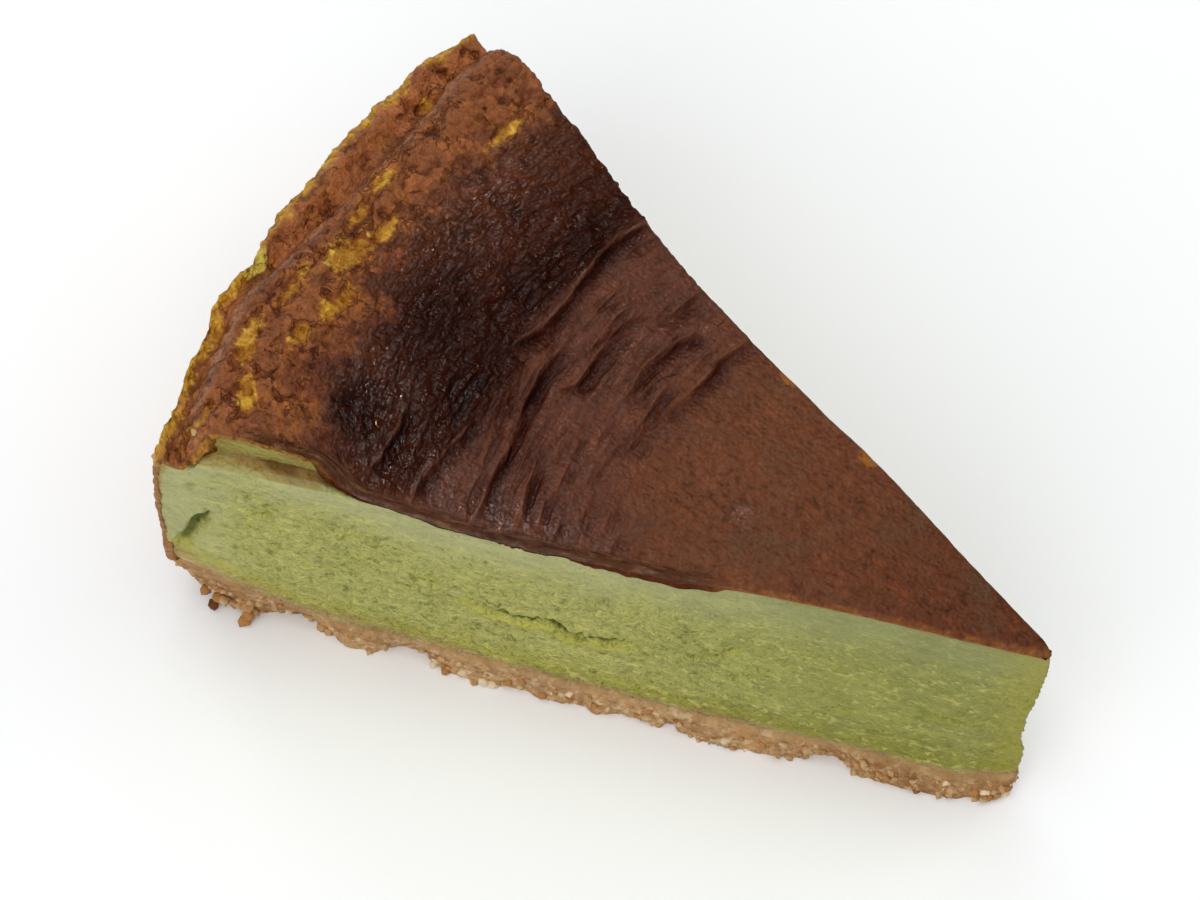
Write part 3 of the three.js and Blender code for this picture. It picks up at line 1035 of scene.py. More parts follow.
# %% [markdown]
# Helpers for node trees
#
# Geometry and materials are both made with node trees here, and both read the values
# kept at the points and mix noise textures. So they share a few helpers. An output of
# a node is a Value, which can be summed and multiplied like a number, and each such
# sum is a node. That keeps the recipes further down short enough to read.


# %% Define the node helpers
class Value:
    """An output of a node, to be summed, multiplied and read like a number."""

    def __init__(self, tree, socket):
        self.tree = tree
        self.socket = socket

    def __add__(self, other):
        return maths(self.tree, "ADD", self, other)

    def __mul__(self, other):
        return maths(self.tree, "MULTIPLY", self, other)

    def __sub__(self, other):
        return maths(self.tree, "SUBTRACT", self, other)

    def __rsub__(self, other):
        return maths(self.tree, "SUBTRACT", other, self)

    def __truediv__(self, other):
        return maths(self.tree, "DIVIDE", self, other)

    def __rtruediv__(self, other):
        return maths(self.tree, "DIVIDE", other, self)

    def __abs__(self):
        return maths(self.tree, "ABSOLUTE", self)

    __radd__ = __add__

    def most(self, other):
        """The larger of this and another value."""
        return maths(self.tree, "MAXIMUM", self, other)

    def wander(self, amount, field):
        """The value with some of a noise field added, which roughens a border."""
        return maths(self.tree, "MULTIPLY_ADD", field, amount, self)

    def step(self, start, end, low=0.0, high=1.0):
        """The value read from start to end as a smooth step from low to high."""
        inputs = {"Value": self, "From Min": start, "From Max": end, "To Min": low, "To Max": high}
        return add(self.tree, "ShaderNodeMapRange", inputs, "Result", interpolation_type="SMOOTHSTEP")

    def fade(self, start, end, high=1.0):
        """The value read from start to end as a smooth step down to 0."""
        return self.step(start, end, high, 0.0)

    def part(self, axis):
        """One number of a vector or a colour."""
        return add(self.tree, "ShaderNodeSeparateXYZ", {"Vector": self}, axis)


print("Outputs of nodes can be summed, multiplied and read")


# %% Define how nodes are added
def plug(tree, socket, value):
    """Links a Value to an input, or sets the input. Colours come without their alpha."""
    if isinstance(value, Value):
        tree.links.new(value.socket, socket)
    elif socket.type == "RGBA":
        socket.default_value = (*value, 1.0)
    else:
        socket.default_value = value


def add(tree, kind, inputs=None, output=0, **settings):
    """One output of a new node, with inputs by name or number."""
    node = tree.nodes.new(kind)
    for name, value in settings.items():
        setattr(node, name, value)
    for name, value in (inputs or {}).items():
        plug(tree, node.inputs[name], value)
    return Value(tree, node.outputs[output])


def maths(tree, operation, *values):
    """The output of a Math node."""
    return add(tree, "ShaderNodeMath", dict(enumerate(values)), operation=operation)


def vector_maths(operation, *vectors):
    """The output of a Vector Math node."""
    return add(vectors[0].tree, "ShaderNodeVectorMath", dict(enumerate(vectors)), operation=operation)


def scaled(vector, by):
    """A vector times a number or times three numbers."""
    single = isinstance(by, float)
    return vector_maths("MULTIPLY", vector, (by, by, by) if single else by)


print("Nodes can be added and linked")


# %% Define the noise
def moved_by(vector, seed):
    """A vector moved far off by a seed, so that each seed reads another part of a noise."""
    return vector_maths("ADD", vector, (17.3 * seed, -9.1 * seed, 5.7 * seed))


def noise(vector, size, detail, roughness, seed):
    """Noise from -1 to 1 with bumps of a size, in the vector's own unit."""
    inputs = {"Vector": moved_by(vector, seed), "Scale": 1.0 / size, "Detail": detail}
    inputs["Roughness"] = roughness
    texture = add(vector.tree, "ShaderNodeTexNoise", inputs)
    return maths(vector.tree, "MULTIPLY_ADD", texture, 2.0, -1.0)


def warped(place, size, amount, detail=1.0, seed=0.0):
    """Places pushed about by noise, so that a pattern read from them isn't regular."""
    inputs = {"Vector": moved_by(place, seed), "Scale": 1.0 / size, "Detail": detail}
    push = add(place.tree, "ShaderNodeTexNoise", inputs, "Color")
    return vector_maths("MULTIPLY_ADD", push, (amount, amount, amount), place)


print("Noise runs from -1 to 1")


# %% Define groups and patterns
def kept(tree, name):
    """A value kept at each point."""
    if tree.type == "GEOMETRY":
        return add(tree, "GeometryNodeInputNamedAttribute", {"Name": name}, "Attribute", data_type="FLOAT")
    return add(tree, "ShaderNodeAttribute", None, "Fac", attribute_name=name)


def new_group(name, kind, inputs, output):
    """A new node group: its tree, what enters it by name, and the node that ends it."""
    tree = bpy.data.node_groups.new(name, kind)
    for label, (socket_kind, value) in inputs.items():
        kind = "NodeSocket" + socket_kind
        socket = tree.interface.new_socket(name=label, in_out="INPUT", socket_type=kind)
        if value is not None:
            socket.default_value = value
    kind = "NodeSocket" + output
    tree.interface.new_socket(name=output, in_out="OUTPUT", socket_type=kind)
    entry = tree.nodes.new("NodeGroupInput")
    entries = {label: Value(tree, entry.outputs[label]) for label in inputs}
    return tree, entries, tree.nodes.new("NodeGroupOutput")


class Pattern:
    """What the relief and the finish of a piece have in common: places to read from."""

    roughness = 0.5

    def __init__(self, tree, place):
        self.tree = tree
        self.place = scaled(place, 1 / MM)

    def kept(self, *names):
        """The values of some names that are kept at each point."""
        found = [kept(self.tree, name) for name in names]
        return found if len(names) > 1 else found[0]

    def noise(self, size, detail, seed, place=None, roughness=None):
        """Noise from -1 to 1."""
        return noise(place or self.place, size, detail, roughness or self.roughness, seed)

    def in_arcs(self, spacing, length):
        """Places measured out from the tip and along the arcs, in units of a pattern."""
        distance, arc = self.kept("distance", "arc")
        return add(self.tree, "ShaderNodeCombineXYZ", {"X": distance / spacing, "Y": arc / length})

    def on_cut(self, length, height):
        """Places along a cut and up it, in units of a pattern."""
        x, y = self.kept("distance") / length, self.place.part("Z") / height
        return add(self.tree, "ShaderNodeCombineXYZ", {"X": x, "Y": y, "Z": self.place.part("Y") * 0.3})


print("Patterns can be read along arcs and cuts")

# %% [markdown]
# Relief of the skin
#
# Lumps, pores and creases follow a rule, so a Geometry Nodes tree makes them: it mixes
# noise into one height and moves each point by it along its normal. The height is kept,
# for the materials to paint shade in the hollows. At the tip the skin is like fine leather.
# Among the wrinkles it has finer creases along the same arcs. The burnt zone is pebbled,
# the crest breaks into plates of flaky crust, and the outer wall keeps the soft upright
# creases of the paper that lined the pan. Waves and lumps lie under them.

# %% Lay out the crust's plates
PLATE_SIZE = 3.4
PLATE_BEND = 4.5
PLATE_BEND_SIZE = 1 / 0.42
GAP_WIDTH = -0.2
GAP_WIDENS = 2.2


def plate_pattern(place, ochre):
    """Crooked plates of crust: how far a place is from the gap round its plate, in
    millimetres and below 0 inside the gap, and a random colour for each plate."""
    tree = place.tree
    inputs = {"Vector": warped(place, PLATE_BEND_SIZE, PLATE_BEND, 3.0), "Scale": 1 / PLATE_SIZE}
    border = add(tree, "ShaderNodeTexVoronoi", inputs, "Distance", feature="DISTANCE_TO_EDGE")
    shade = add(tree, "ShaderNodeTexVoronoi", inputs, "Color", feature="F1")
    wide = maths(tree, "MULTIPLY_ADD", ochre, GAP_WIDENS, GAP_WIDTH)
    wide = wide.wander(0.9, noise(place, 3.2, 2.0, 0.5, 36.0))
    return border * PLATE_SIZE - wide, shade


print("Crust plates, mm:", PLATE_SIZE)


# %% Define how a relief is raised
def settle(piece, tree, values):
    """The piece with a Geometry Nodes tree run on it, as a plain mesh above the floor."""
    modifier = piece.modifiers.new(tree.name, "NODES")
    modifier.node_group = tree
    for item in tree.interface.items_tree:
        if item.in_out == "INPUT" and item.name in values:
            modifier[item.identifier] = values[item.name]
    bpy.context.view_layer.update()
    evaluated = piece.evaluated_get(bpy.context.evaluated_depsgraph_get())
    data = bpy.data.meshes.new_from_object(evaluated)
    piece.modifiers.clear()
    place = np.zeros(len(data.vertices) * 3)
    data.vertices.foreach_get("co", place)
    place[2::3] = np.maximum(place[2::3], 0.0)
    data.vertices.foreach_set("co", place)
    piece.data = data
    data.name = piece.name
    data.polygons.foreach_set("use_smooth", [True] * len(data.polygons))
    triangles = sum(len(p.vertices) - 2 for p in data.polygons)
    print(f"{piece.name} settled: {triangles} triangles")
    return piece


class Relief(Pattern):
    """A Geometry Nodes tree that moves a piece's points along their normals."""

    def __init__(self, name, sizes):
        self.values = sizes
        inputs = {"Geometry": ("Geometry", None), **{k: ("Float", v) for k, v in sizes.items()}}
        tree, self.size, self.end = new_group(name, "GeometryNodeTree", inputs, "Geometry")
        super().__init__(tree, add(tree, "GeometryNodeInputPosition"))

    def part(self, label, pattern, share=1.0):
        """A height from a named size, a pattern and a mask."""
        return pattern * self.size[label] * share

    def apply(self, piece, height):
        """Ends the tree with a height in millimetres, and runs it on a piece."""
        inputs = {"Geometry": self.size["Geometry"], "Name": "relief", "Value": height}
        settings = {"data_type": "FLOAT", "domain": "POINT"}
        stored = add(self.tree, "GeometryNodeStoreNamedAttribute", inputs, **settings)
        step = scaled(add(self.tree, "GeometryNodeInputNormal"), height * MM)
        moved = add(self.tree, "GeometryNodeSetPosition", {"Geometry": stored, "Offset": step})
        plug(self.tree, self.end.inputs[0], moved)
        settle(piece, self.tree, self.values)


print("Reliefs can be raised")

# %% Raise the skin's relief
SKIN_RELIEF = {
    "Leather size": 1.8,
    "Leather height": 0.09,
    "Crease spacing": 1.2,
    "Crease height": 0.24,
    "Pebble size": 1.1,
    "Pebble height": 0.34,
    "Lump size": 3.4,
    "Lump height": 0.42,
    "Plate height": 0.38,
    "Crust size": 1.3,
    "Crust height": 0.60,
    "Wave height": 0.3,
    "Paper crease height": 0.5,
}


def raise_skin():
    """Makes and runs the tree of the skin's relief."""
    relief = Relief("skin_relief", SKIN_RELIEF)
    size, part = relief.size, relief.part
    wall = relief.kept("wall").step(0.0, 2.0)
    rim = relief.kept("rimward").step(-1.0, 2.5) * (1.0 - wall)
    rough = relief.kept("burnt").step(-2.0, 2.0).most(rim)
    leather = part("Leather height", relief.noise(size["Leather size"], 2.0, 1.0))
    wave = part("Wave height", relief.noise(8.0, 1.0, 2.0, roughness=0.4), rough.step(0, 1, 0.6, 1.2))
    crease = abs(relief.noise(1.0, 2.0, 3.0, relief.in_arcs(size["Crease spacing"], 8.0)))
    where = relief.noise(1.0, 1.0, 6.0, relief.in_arcs(9.0, 9.0)).step(-0.25, 0.35, 0.15, 1.0)
    crease = part("Crease height", crease.fade(0.0, 0.25) * where, relief.kept("wrinkly"))
    pebble = relief.noise(1.0, 1.5, 4.0, relief.in_arcs(size["Pebble size"], 1.9))
    pebble = part("Pebble height", pebble, rough.step(0, 1))
    lump = part("Lump height", relief.noise(size["Lump size"], 2.0, 7.0), rough)
    inside, _ = plate_pattern(relief.place, relief.kept("ochre"))
    plate = part("Plate height", inside.step(-0.3, 0.35, -1.0, 0.0), rim)
    crust = part("Crust height", relief.noise(size["Crust size"], 2.0, 9.0), rim.most(wall * 0.6))
    upright = scaled(relief.place, (0.35, 0.35, 0.05))
    paper = part("Paper crease height", abs(relief.noise(1.0, 2.0, 5.0, upright)), wall)
    relief.apply(skin, leather + wave + crease + pebble + lump + plate + crust + paper)


raise_skin()

# %% [markdown]
# Relief of the custard
#
# The knife dragged the soft custard along, which leaves short level streaks, small
# torn pits and, near the tip, ragged flakes. Under the skin it was firmer and cut
# clean. Stretched noise gives the streaks, and stronger noise the torn places.

# %% Raise the custard's relief
CUSTARD_RELIEF = {
    "Streak length": 1.4,
    "Streak height": 0.9,
    "Streak depth": 0.46,
    "Curd size": 1.1,
    "Curd depth": 0.60,
    "Pit size": 1.3,
    "Pit depth": 0.45,
    "Flake size": 1.6,
    "Flake depth": 0.5,
}


def raise_custard():
    """Makes and runs the tree of the custard's relief."""
    relief = Relief("custard_relief", CUSTARD_RELIEF)
    size, part = relief.size, relief.part
    firm = relief.kept("below_skin").step(2.0, 12.0, 0.2, 1.0)
    firm = firm * relief.kept("distance").step(22.0, 45.0, 0.6, 1.0)
    ragged = relief.noise(12.0, 1.0, 13.0).step(0.0, 0.45).most(relief.kept("tip") * 0.9)
    on_cut = relief.on_cut(size["Streak length"], size["Streak height"])
    streak = part("Streak depth", relief.noise(1.0, 2.0, 11.0, on_cut), firm)
    curd = part("Curd depth", relief.noise(size["Curd size"], 1.5, 15.0), firm)
    pit = relief.noise(size["Pit size"], 2.0, 12.0, scaled(relief.place, (0.7, 0.7, 1.4)))
    pit = part("Pit depth", pit.step(0.34, 0.66, 0.0, -1.0), firm)
    flake = relief.noise(size["Flake size"], 4.0, 14.0, scaled(relief.place, (0.7, 0.7, 1.3)), 0.65)
    flake = part("Flake depth", flake, (ragged * firm).most(relief.kept("torn")))
    relief.apply(custard, streak + curd + pit + flake)


raise_custard()

# %% [markdown]
# Relief of the biscuit
#
# Pressed crumbs are packed grains with dark gaps. Noise of three sizes raises the
# clumps in which the layer breaks, the lumps in them and the single grains. Where the
# custard lies on the layer it is pressed nearly flat.

# %% Raise the biscuit's relief
BISCUIT_RELIEF = {
    "Clump size": 4.5,
    "Clump height": 0.55,
    "Lump size": 1.7,
    "Lump height": 0.55,
    "Grain size": 0.6,
    "Grain height": 0.24,
}


def raise_biscuit():
    """Makes and runs the tree of the biscuit layer's relief."""
    relief = Relief("biscuit_relief", BISCUIT_RELIEF)
    heights = []
    for seed, (label, detail) in enumerate((("Clump", 2.0), ("Lump", 3.0), ("Grain", 2.0)), 21):
        lumps = relief.noise(relief.size[label + " size"], detail, seed, roughness=0.6)
        heights.append(relief.part(label + " height", lumps))
    relief.apply(biscuit, sum(heights) * relief.kept("rise").step(0.75, 1.0, 1.0, 0.25))


raise_biscuit()

# %% [markdown]
# Shared effects of the materials
#
# Three effects serve more than one material, so each is a shader node group with
# named inputs: mottled colour, fine grain for the bump, and painted shade in the hollows.
# Patterns read Object coordinates in millimetres, because nothing here deforms.

# %% Make the shared shader groups
GREY = ("Color", (0.3, 0.3, 0.3, 1.0))


def mix_colours(tree, share, a, b, blend="MIX"):
    """Two colours mixed by a share."""
    return add(tree, "ShaderNodeMix", {0: share, 6: a, 7: b}, 2, data_type="RGBA", blend_type=blend)


def make_mottle():
    """Group: a colour from dark over middle to light, chosen by a value from -1 to 1."""
    inputs = {"Value": ("Float", 0.0), "Dark": GREY, "Middle": GREY, "Light": GREY}
    tree, entry, leave = new_group("mottle", "ShaderNodeTree", inputs, "Color")
    low = mix_colours(tree, entry["Value"].step(-0.45, 0.0), entry["Dark"], entry["Middle"])
    whole = mix_colours(tree, entry["Value"].step(0.0, 0.45), low, entry["Light"])
    plug(tree, leave.inputs[0], whole)
    return tree


def make_fine_grain():
    """Group: the height, in metres, of fine pores and grain, for a Bump node."""
    sizes = {"Pore size": 0.5, "Pore depth": 0.05, "Grain size": 0.2, "Grain height": 0.02}
    inputs = {"Place": ("Vector", None), **{k: ("Float", v) for k, v in sizes.items()}}
    tree, entry, leave = new_group("fine_grain", "ShaderNodeTree", inputs, "Float")
    pore = noise(entry["Place"], entry["Pore size"], 1.0, 0.5, 31.0) * entry["Pore depth"]
    grain = noise(entry["Place"], entry["Grain size"], 0.0, 0.5, 32.0) * entry["Grain height"]
    plug(tree, leave.inputs[0], (pore + grain) * MM)
    return tree


def make_hollow_shade():
    """Group: painted shade, which darkens a colour where the relief is low."""
    sizes = {"Relief": ("Float", 0.0), "Low": ("Float", -0.4), "High": ("Float", 0.1)}
    inputs = {"Color": GREY, "Shade": GREY, **sizes}
    tree, entry, leave = new_group("hollows", "ShaderNodeTree", inputs, "Color")
    share = entry["Relief"].step(entry["Low"], entry["High"])
    shaded = mix_colours(tree, 1.0, entry["Color"], entry["Shade"], "MULTIPLY")
    plug(tree, leave.inputs[0], mix_colours(tree, share, shaded, entry["Color"]))
    return tree


mottle, fine_grain, hollows = make_mottle(), make_fine_grain(), make_hollow_shade()
print("Shader groups:", mottle.name, fine_grain.name, hollows.name)


# %% Define helpers for materials
def around(colour, amount):
    """A darker, the same and a lighter colour."""
    return [tuple(part * share for part in colour) for share in (1 - amount, 1.0, 1 + amount)]


class Finish(Pattern):
    """A material that is painted in layers, one over the other."""

    roughness = 0.55

    def __init__(self, name):
        self.material = bpy.data.materials.new(name)
        self.material.use_nodes = True
        tree = self.material.node_tree
        super().__init__(tree, add(tree, "ShaderNodeTexCoord", None, "Object"))
        self.shader = tree.nodes["Principled BSDF"]
        self.colour = None

    def mottled(self, value, colours):
        """One of three colours, dark, middle and light, that a value from -1 to 1 chooses."""
        inputs = {"Value": value, **dict(zip(("Dark", "Middle", "Light"), colours))}
        return add(self.tree, "ShaderNodeGroup", inputs, node_tree=mottle)

    def mix(self, share, a, b, blend="MIX"):
        """Two colours mixed by a share."""
        return mix_colours(self.tree, share, a, b, blend)

    def paint(self, share, colour, field=None):
        """Lays a colour over the paint, or three colours that a field chooses from."""
        colour = colour if field is None else self.mottled(field, colour)
        self.colour = self.mix(share, self.colour, colour)

    def tint(self, share, colour):
        """Multiplies the paint by a colour."""
        self.colour = self.mix(share, self.colour, colour, "MULTIPLY")

    def paint_hollow_shade(self, shade, low, high):
        """Paints shade: multiplies the paint by a colour where the relief is low."""
        inputs = {"Color": self.colour, "Shade": shade, "Relief": self.kept("relief")}
        inputs.update({"Low": low, "High": high})
        self.colour = add(self.tree, "ShaderNodeGroup", inputs, node_tree=hollows)

    def patch(self, name, field):
        """A kept mask of spots with ragged borders."""
        return (self.kept(name) * (field * 1.1 + 1.0)).step(0.30, 0.55)

    def random_shade(self, size, bend, seed):
        """A random number for each cell of a size, with the cells bent out of shape."""
        inputs = {"Vector": warped(self.place, size, bend, seed=seed), "Scale": 1.0 / size}
        return add(self.tree, "ShaderNodeTexVoronoi", inputs, "Color", feature="F1").part("X")

    def grain(self, pore_size, pore_depth, grain_size, grain_height):
        """The height, in metres, of fine pores and grain."""
        inputs = {"Place": self.place, "Pore size": pore_size, "Pore depth": pore_depth}
        inputs.update({"Grain size": grain_size, "Grain height": grain_height})
        return add(self.tree, "ShaderNodeGroup", inputs, node_tree=fine_grain)

    def bump(self, height):
        """Feeds a height in metres to the shader's Normal."""
        normal = add(self.tree, "ShaderNodeBump", {"Height": height, "Strength": 1.0, "Distance": 1.0})
        plug(self.tree, self.shader.inputs["Normal"], normal)

    def done(self, roughness, shine):
        """The material, with its paint, roughness and shine fed to the shader."""
        ends = {"Base Color": self.colour, "Roughness": roughness, "Specular IOR Level": shine}
        for name, value in ends.items():
            plug(self.tree, self.shader.inputs[name], value)
        print("Made", self.material.name)
        return self.material


print("Finishes can be painted in layers")

# %% [markdown]
# The skin's finish
#
# Baked custard goes through ochre, orange and chestnut to near black. The zones kept
# at the points choose between mottled colours, and noise makes their borders ragged.
# The gloss changes too: satin at the tip, oily where it is burnt, duller at the rim.

# %% Set the skin's colours
TIP_BROWN = around((0.105, 0.0266, 0.0064), 0.42)
PLAIN_BROWN = around((0.128, 0.0370, 0.0108), 0.40)
OLIVE_BROWN = (0.090, 0.0400, 0.0160)
WRINKLED_BROWN = around((0.103, 0.0315, 0.0150), 0.34)
# Darker red of furrows and creases: partly the skin's colour, partly painted shade
FURROW_RED_AND_SHADE = (0.34, 0.165, 0.11)
# Painted highlight on the folds' ridges
RIDGE_HIGHLIGHT = (0.26, 0.105, 0.062)
BURNT_BROWN = around((0.052, 0.0100, 0.0022), 0.38)
BURNT_RED = around((0.074, 0.0172, 0.0042), 0.38)
CHAR = around((0.0210, 0.0026, 0.0001), 0.38)
PLATE_DARK = around((0.120, 0.0300, 0.0100), 0.42)
PLATE_BROWN = around((0.250, 0.0790, 0.0250), 0.40)
LEDGE_BROWN = around((0.290, 0.0940, 0.0310), 0.38)
RIM_ORANGE = around((0.340, 0.1120, 0.0220), 0.40)
OCHRE = ((0.400, 0.150, 0.015), (0.600, 0.310, 0.026), (0.780, 0.490, 0.070))
EDGE_BROWN = ((0.034, 0.011, 0.005), (0.085, 0.033, 0.014), (0.21, 0.105, 0.055))
UNDER_EDGE = ((0.050, 0.013, 0.006), (0.092, 0.027, 0.011), (0.16, 0.050, 0.015))
# Painted shade under the skin's overhanging edge
UNDER_EDGE_SHADE = (0.50, 0.42, 0.50)
TIP_EDGE = ((0.12, 0.032, 0.008), (0.20, 0.062, 0.013), (0.30, 0.110, 0.022))
CORNER_CRUST = ((0.20, 0.075, 0.015), (0.34, 0.150, 0.030), (0.46, 0.260, 0.060))
WALL_BROWN = ((0.24, 0.080, 0.018), (0.37, 0.155, 0.040), (0.48, 0.270, 0.095))
# Painted sheen along the crest's edge
CREST_SHEEN = (0.42, 0.180, 0.080)
BARE_CUSTARD = (0.56, 0.42, 0.060)
CRACK_DARK = (0.055, 0.013, 0.005)
AMBER = (0.27, 0.095, 0.010)
# Painted shade for the skin's hollows
SKIN_HOLLOW_SHADE = (0.56, 0.43, 0.36)
GRIT_SHADE = (0.45, 0.38, 0.34)
print("Browns from", CREST_SHEEN, "to", CHAR[1])


# %% Paint the skin's zones
class SkinFields:
    """Noise fields that all of the skin's effects share."""

    def __init__(self, finish):
        self.fine = finish.noise(0.8, 2.0, 1.0)
        self.broad = finish.noise(2.4, 3.0, 2.0)
        self.wide = finish.noise(7.0, 2.0, 3.0)
        self.arcs = finish.noise(1.0, 2.5, 4.0, finish.in_arcs(0.9, 4.0))
        self.beads = finish.noise(1.0, 1.5, 5.0, finish.in_arcs(0.75, 1.4))
        self.creases = finish.noise(1.0, 1.5, 8.0, finish.in_arcs(1.5, 7.0))
        self.grit = finish.noise(0.36, 1.0, 9.0)
        self.tone = self.fine * 0.7 + self.broad * 0.5


def paint_zones(finish, fields):
    """Paints the skin from the tip to the burnt zone, and tells how charred it is."""
    distance, burnt, rimward, core = finish.kept("distance", "burnt", "rimward", "core")
    finish.colour = finish.mottled(fields.tone, TIP_BROWN)
    finish.paint(distance.wander(12.0, fields.wide).step(8, 34), PLAIN_BROWN, fields.tone)
    finish.paint((fields.wide + fields.broad * 0.5).step(0.0, 0.5, 0.0, 0.6), OLIVE_BROWN)
    finish.paint(distance.wander(6.0, fields.wide).step(43, 53), WRINKLED_BROWN, fields.arcs)
    reddish = rimward.wander(4.0, fields.broad).step(-10.0, -2.0)
    brown = finish.mottled(fields.tone, BURNT_BROWN)
    char = finish.mix(reddish, brown, finish.mottled(fields.tone, BURNT_RED))
    black = core.wander(0.12, fields.broad).step(0.05, 1.05)
    char = finish.mix(black, char, finish.mottled(fields.fine, CHAR))
    charred = burnt.wander(2.0, fields.broad).step(-2.5, 1.8)
    finish.paint(charred, char)
    return charred


print("Zones: tip, smooth top, wrinkles, burnt band")


# %% Paint the folds
def paint_folds(finish, fields):
    """Paints the folds' furrows and the finest creases darker red, partly the skin's own
    colour and partly painted shade, and a painted highlight on the thin ridges, and
    tells how much each place is raised, in millimetres."""
    off, depth = finish.kept("fold_off").wander(0.35, fields.arcs), finish.kept("fold_depth")
    furrow = off.step(-2.8, -0.7) * off.fade(-0.45, 0.0) * depth.step(0.05, 0.9)
    # Partly painted shade in the furrows
    finish.tint(furrow, FURROW_RED_AND_SHADE)
    ridge = abs(off).fade(0.05, 0.22) * depth.step(0.1, 0.75)
    # Painted highlight along the ridges
    finish.paint(ridge * fields.arcs.step(-0.4, 0.15, 0.0, 0.3), RIDGE_HIGHLIGHT)
    beside = abs(off + 0.8).fade(1.5, 4.0) * depth.step(0.2, 0.6)
    spread = fields.wide.step(-0.1, 0.3).most(beside)
    crease = fields.creases.step(0.06, 0.32) * finish.kept("wrinkly") * spread
    # Partly painted shade in the fine creases
    finish.tint(crease * 0.6, FURROW_RED_AND_SHADE)
    return ridge * 0.10 - crease * 0.22


print("Folds have red furrows and light ridges")


# %% Paint the rim
def paint_rim(finish, fields):
    """Paints the crust of the crest and the ledge, and the outer wall: brown plates,
    crumbly orange and golden places between them, cracks, and a pale painted sheen
    along the crest's edge. Tells where the rim is and how much each place is sunk."""
    rimward, crest, ochre = finish.kept("rimward", "crest", "ochre")
    inside, shade = plate_pattern(finish.place, ochre)
    tone = rimward.wander(4.0, shade.part("X")).wander(2.5, fields.broad)
    spread = fields.tone * 0.6 + shade.part("Y") * 0.6 - 0.3
    finish.paint(tone.step(-0.5, 2.2), PLATE_DARK, spread)
    finish.paint(tone.step(2.2, 6.5), PLATE_BROWN, spread)
    ledge = crest.wander(0.5, fields.broad).step(0.4, 1.2)
    finish.paint(ledge, LEDGE_BROWN, spread)
    rim = rimward.wander(2.0, fields.broad).step(-3.0, 1.0)
    islands = finish.noise(3.2, 2.5, 7.0)
    crumbly = fields.fine * 0.32 + islands * 0.85 + ochre * 0.8 + inside.fade(0.0, 0.8, 0.20)
    gaps = (crumbly - ledge * 0.10 - 0.04).step(-0.08, 0.34) * rim
    golden = ochre * 0.8 + islands * 0.8 + fields.fine * 0.6
    golden = golden.step(0.15, 0.70) * ochre.step(0.08, 0.35)
    orange = finish.mottled(fields.broad, RIM_ORANGE)
    gap = finish.mix(golden, orange, finish.mottled(fields.tone, OCHRE))
    finish.paint(gaps * 0.62 + golden * 0.6, gap)
    hair = abs(inside.wander(0.5, fields.fine) - 0.12).fade(0.03, 0.15)
    hair = hair * rim * fields.broad.step(-0.25, 0.05)
    finish.paint(hair * 0.65, CRACK_DARK)
    outer = finish.kept("distance").wander(2.0, fields.broad).step(96.7, 98.2)
    finish.paint(outer * 0.85, OCHRE, fields.fine)
    # A pale painted sheen along the crest's outer edge
    shoulder = abs(crest.wander(0.9, fields.fine) + 0.6).fade(0.2, 0.9, 0.7)
    finish.paint(shoulder * fields.tone.step(-0.2, 0.15), CREST_SHEEN)
    down = finish.kept("wall").wander(1.6, fields.broad).step(-0.3, 1.8)
    finish.paint(down, WALL_BROWN, fields.broad)
    finish.paint(finish.patch("bare", fields.fine), BARE_CUSTARD)
    spots = finish.mix(rim, AMBER, finish.mottled(fields.tone + 0.25, OCHRE))
    finish.paint(finish.patch("amber", fields.fine) * 0.9, spots)
    return rim, gaps + hair * 0.5


print("The rim has plates, gaps, cracks and golden places")


# %% Paint the skin's edge
def paint_edge(finish, fields):
    """Paints the skin's rolled edge along the near cut and its section on both cuts,
    and tells where it is dull and how high its streaks are."""
    edge, margin, distance = finish.kept("edge", "margin", "distance")
    inputs = {"X": distance * 0.5, "Y": margin * 3.5, "Z": edge * 2.5}
    streaks = finish.noise(1.0, 3.0, 29.0, add(finish.tree, "ShaderNodeCombineXYZ", inputs))
    band = margin.wander(0.6, fields.broad).fade(0.5, 1.4, 0.85) * finish.kept("rolled")
    finish.paint(band, EDGE_BROWN, streaks)
    at_tip = distance.fade(30, 38) * margin.fade(0.1, 0.7, 0.8)
    finish.paint(at_tip, TIP_EDGE, fields.fine)
    section = edge.step(0.05, 0.3) * finish.kept("wall").fade(0.0, 0.5)
    cut = finish.mottled(streaks + fields.fine * 0.3, UNDER_EDGE)
    # Painted shade on the lower, tucked-in part of the skin's edge on the cuts
    cut = finish.mix(distance.step(50, 56) * edge.step(0.3, 0.7), cut, UNDER_EDGE_SHADE, "MULTIPLY")
    cut = finish.mix(distance.fade(35, 38), cut, finish.mottled(fields.fine, TIP_EDGE))
    corner = distance.wander(3.0, fields.broad).step(78.0, 84.0)
    cut = finish.mix(corner, cut, finish.mottled(fields.fine, CORNER_CRUST))
    finish.paint(section, cut)
    return section.most(band * 0.8), streaks * band * 0.4


print("The edge is dark and rolled along the near cut")


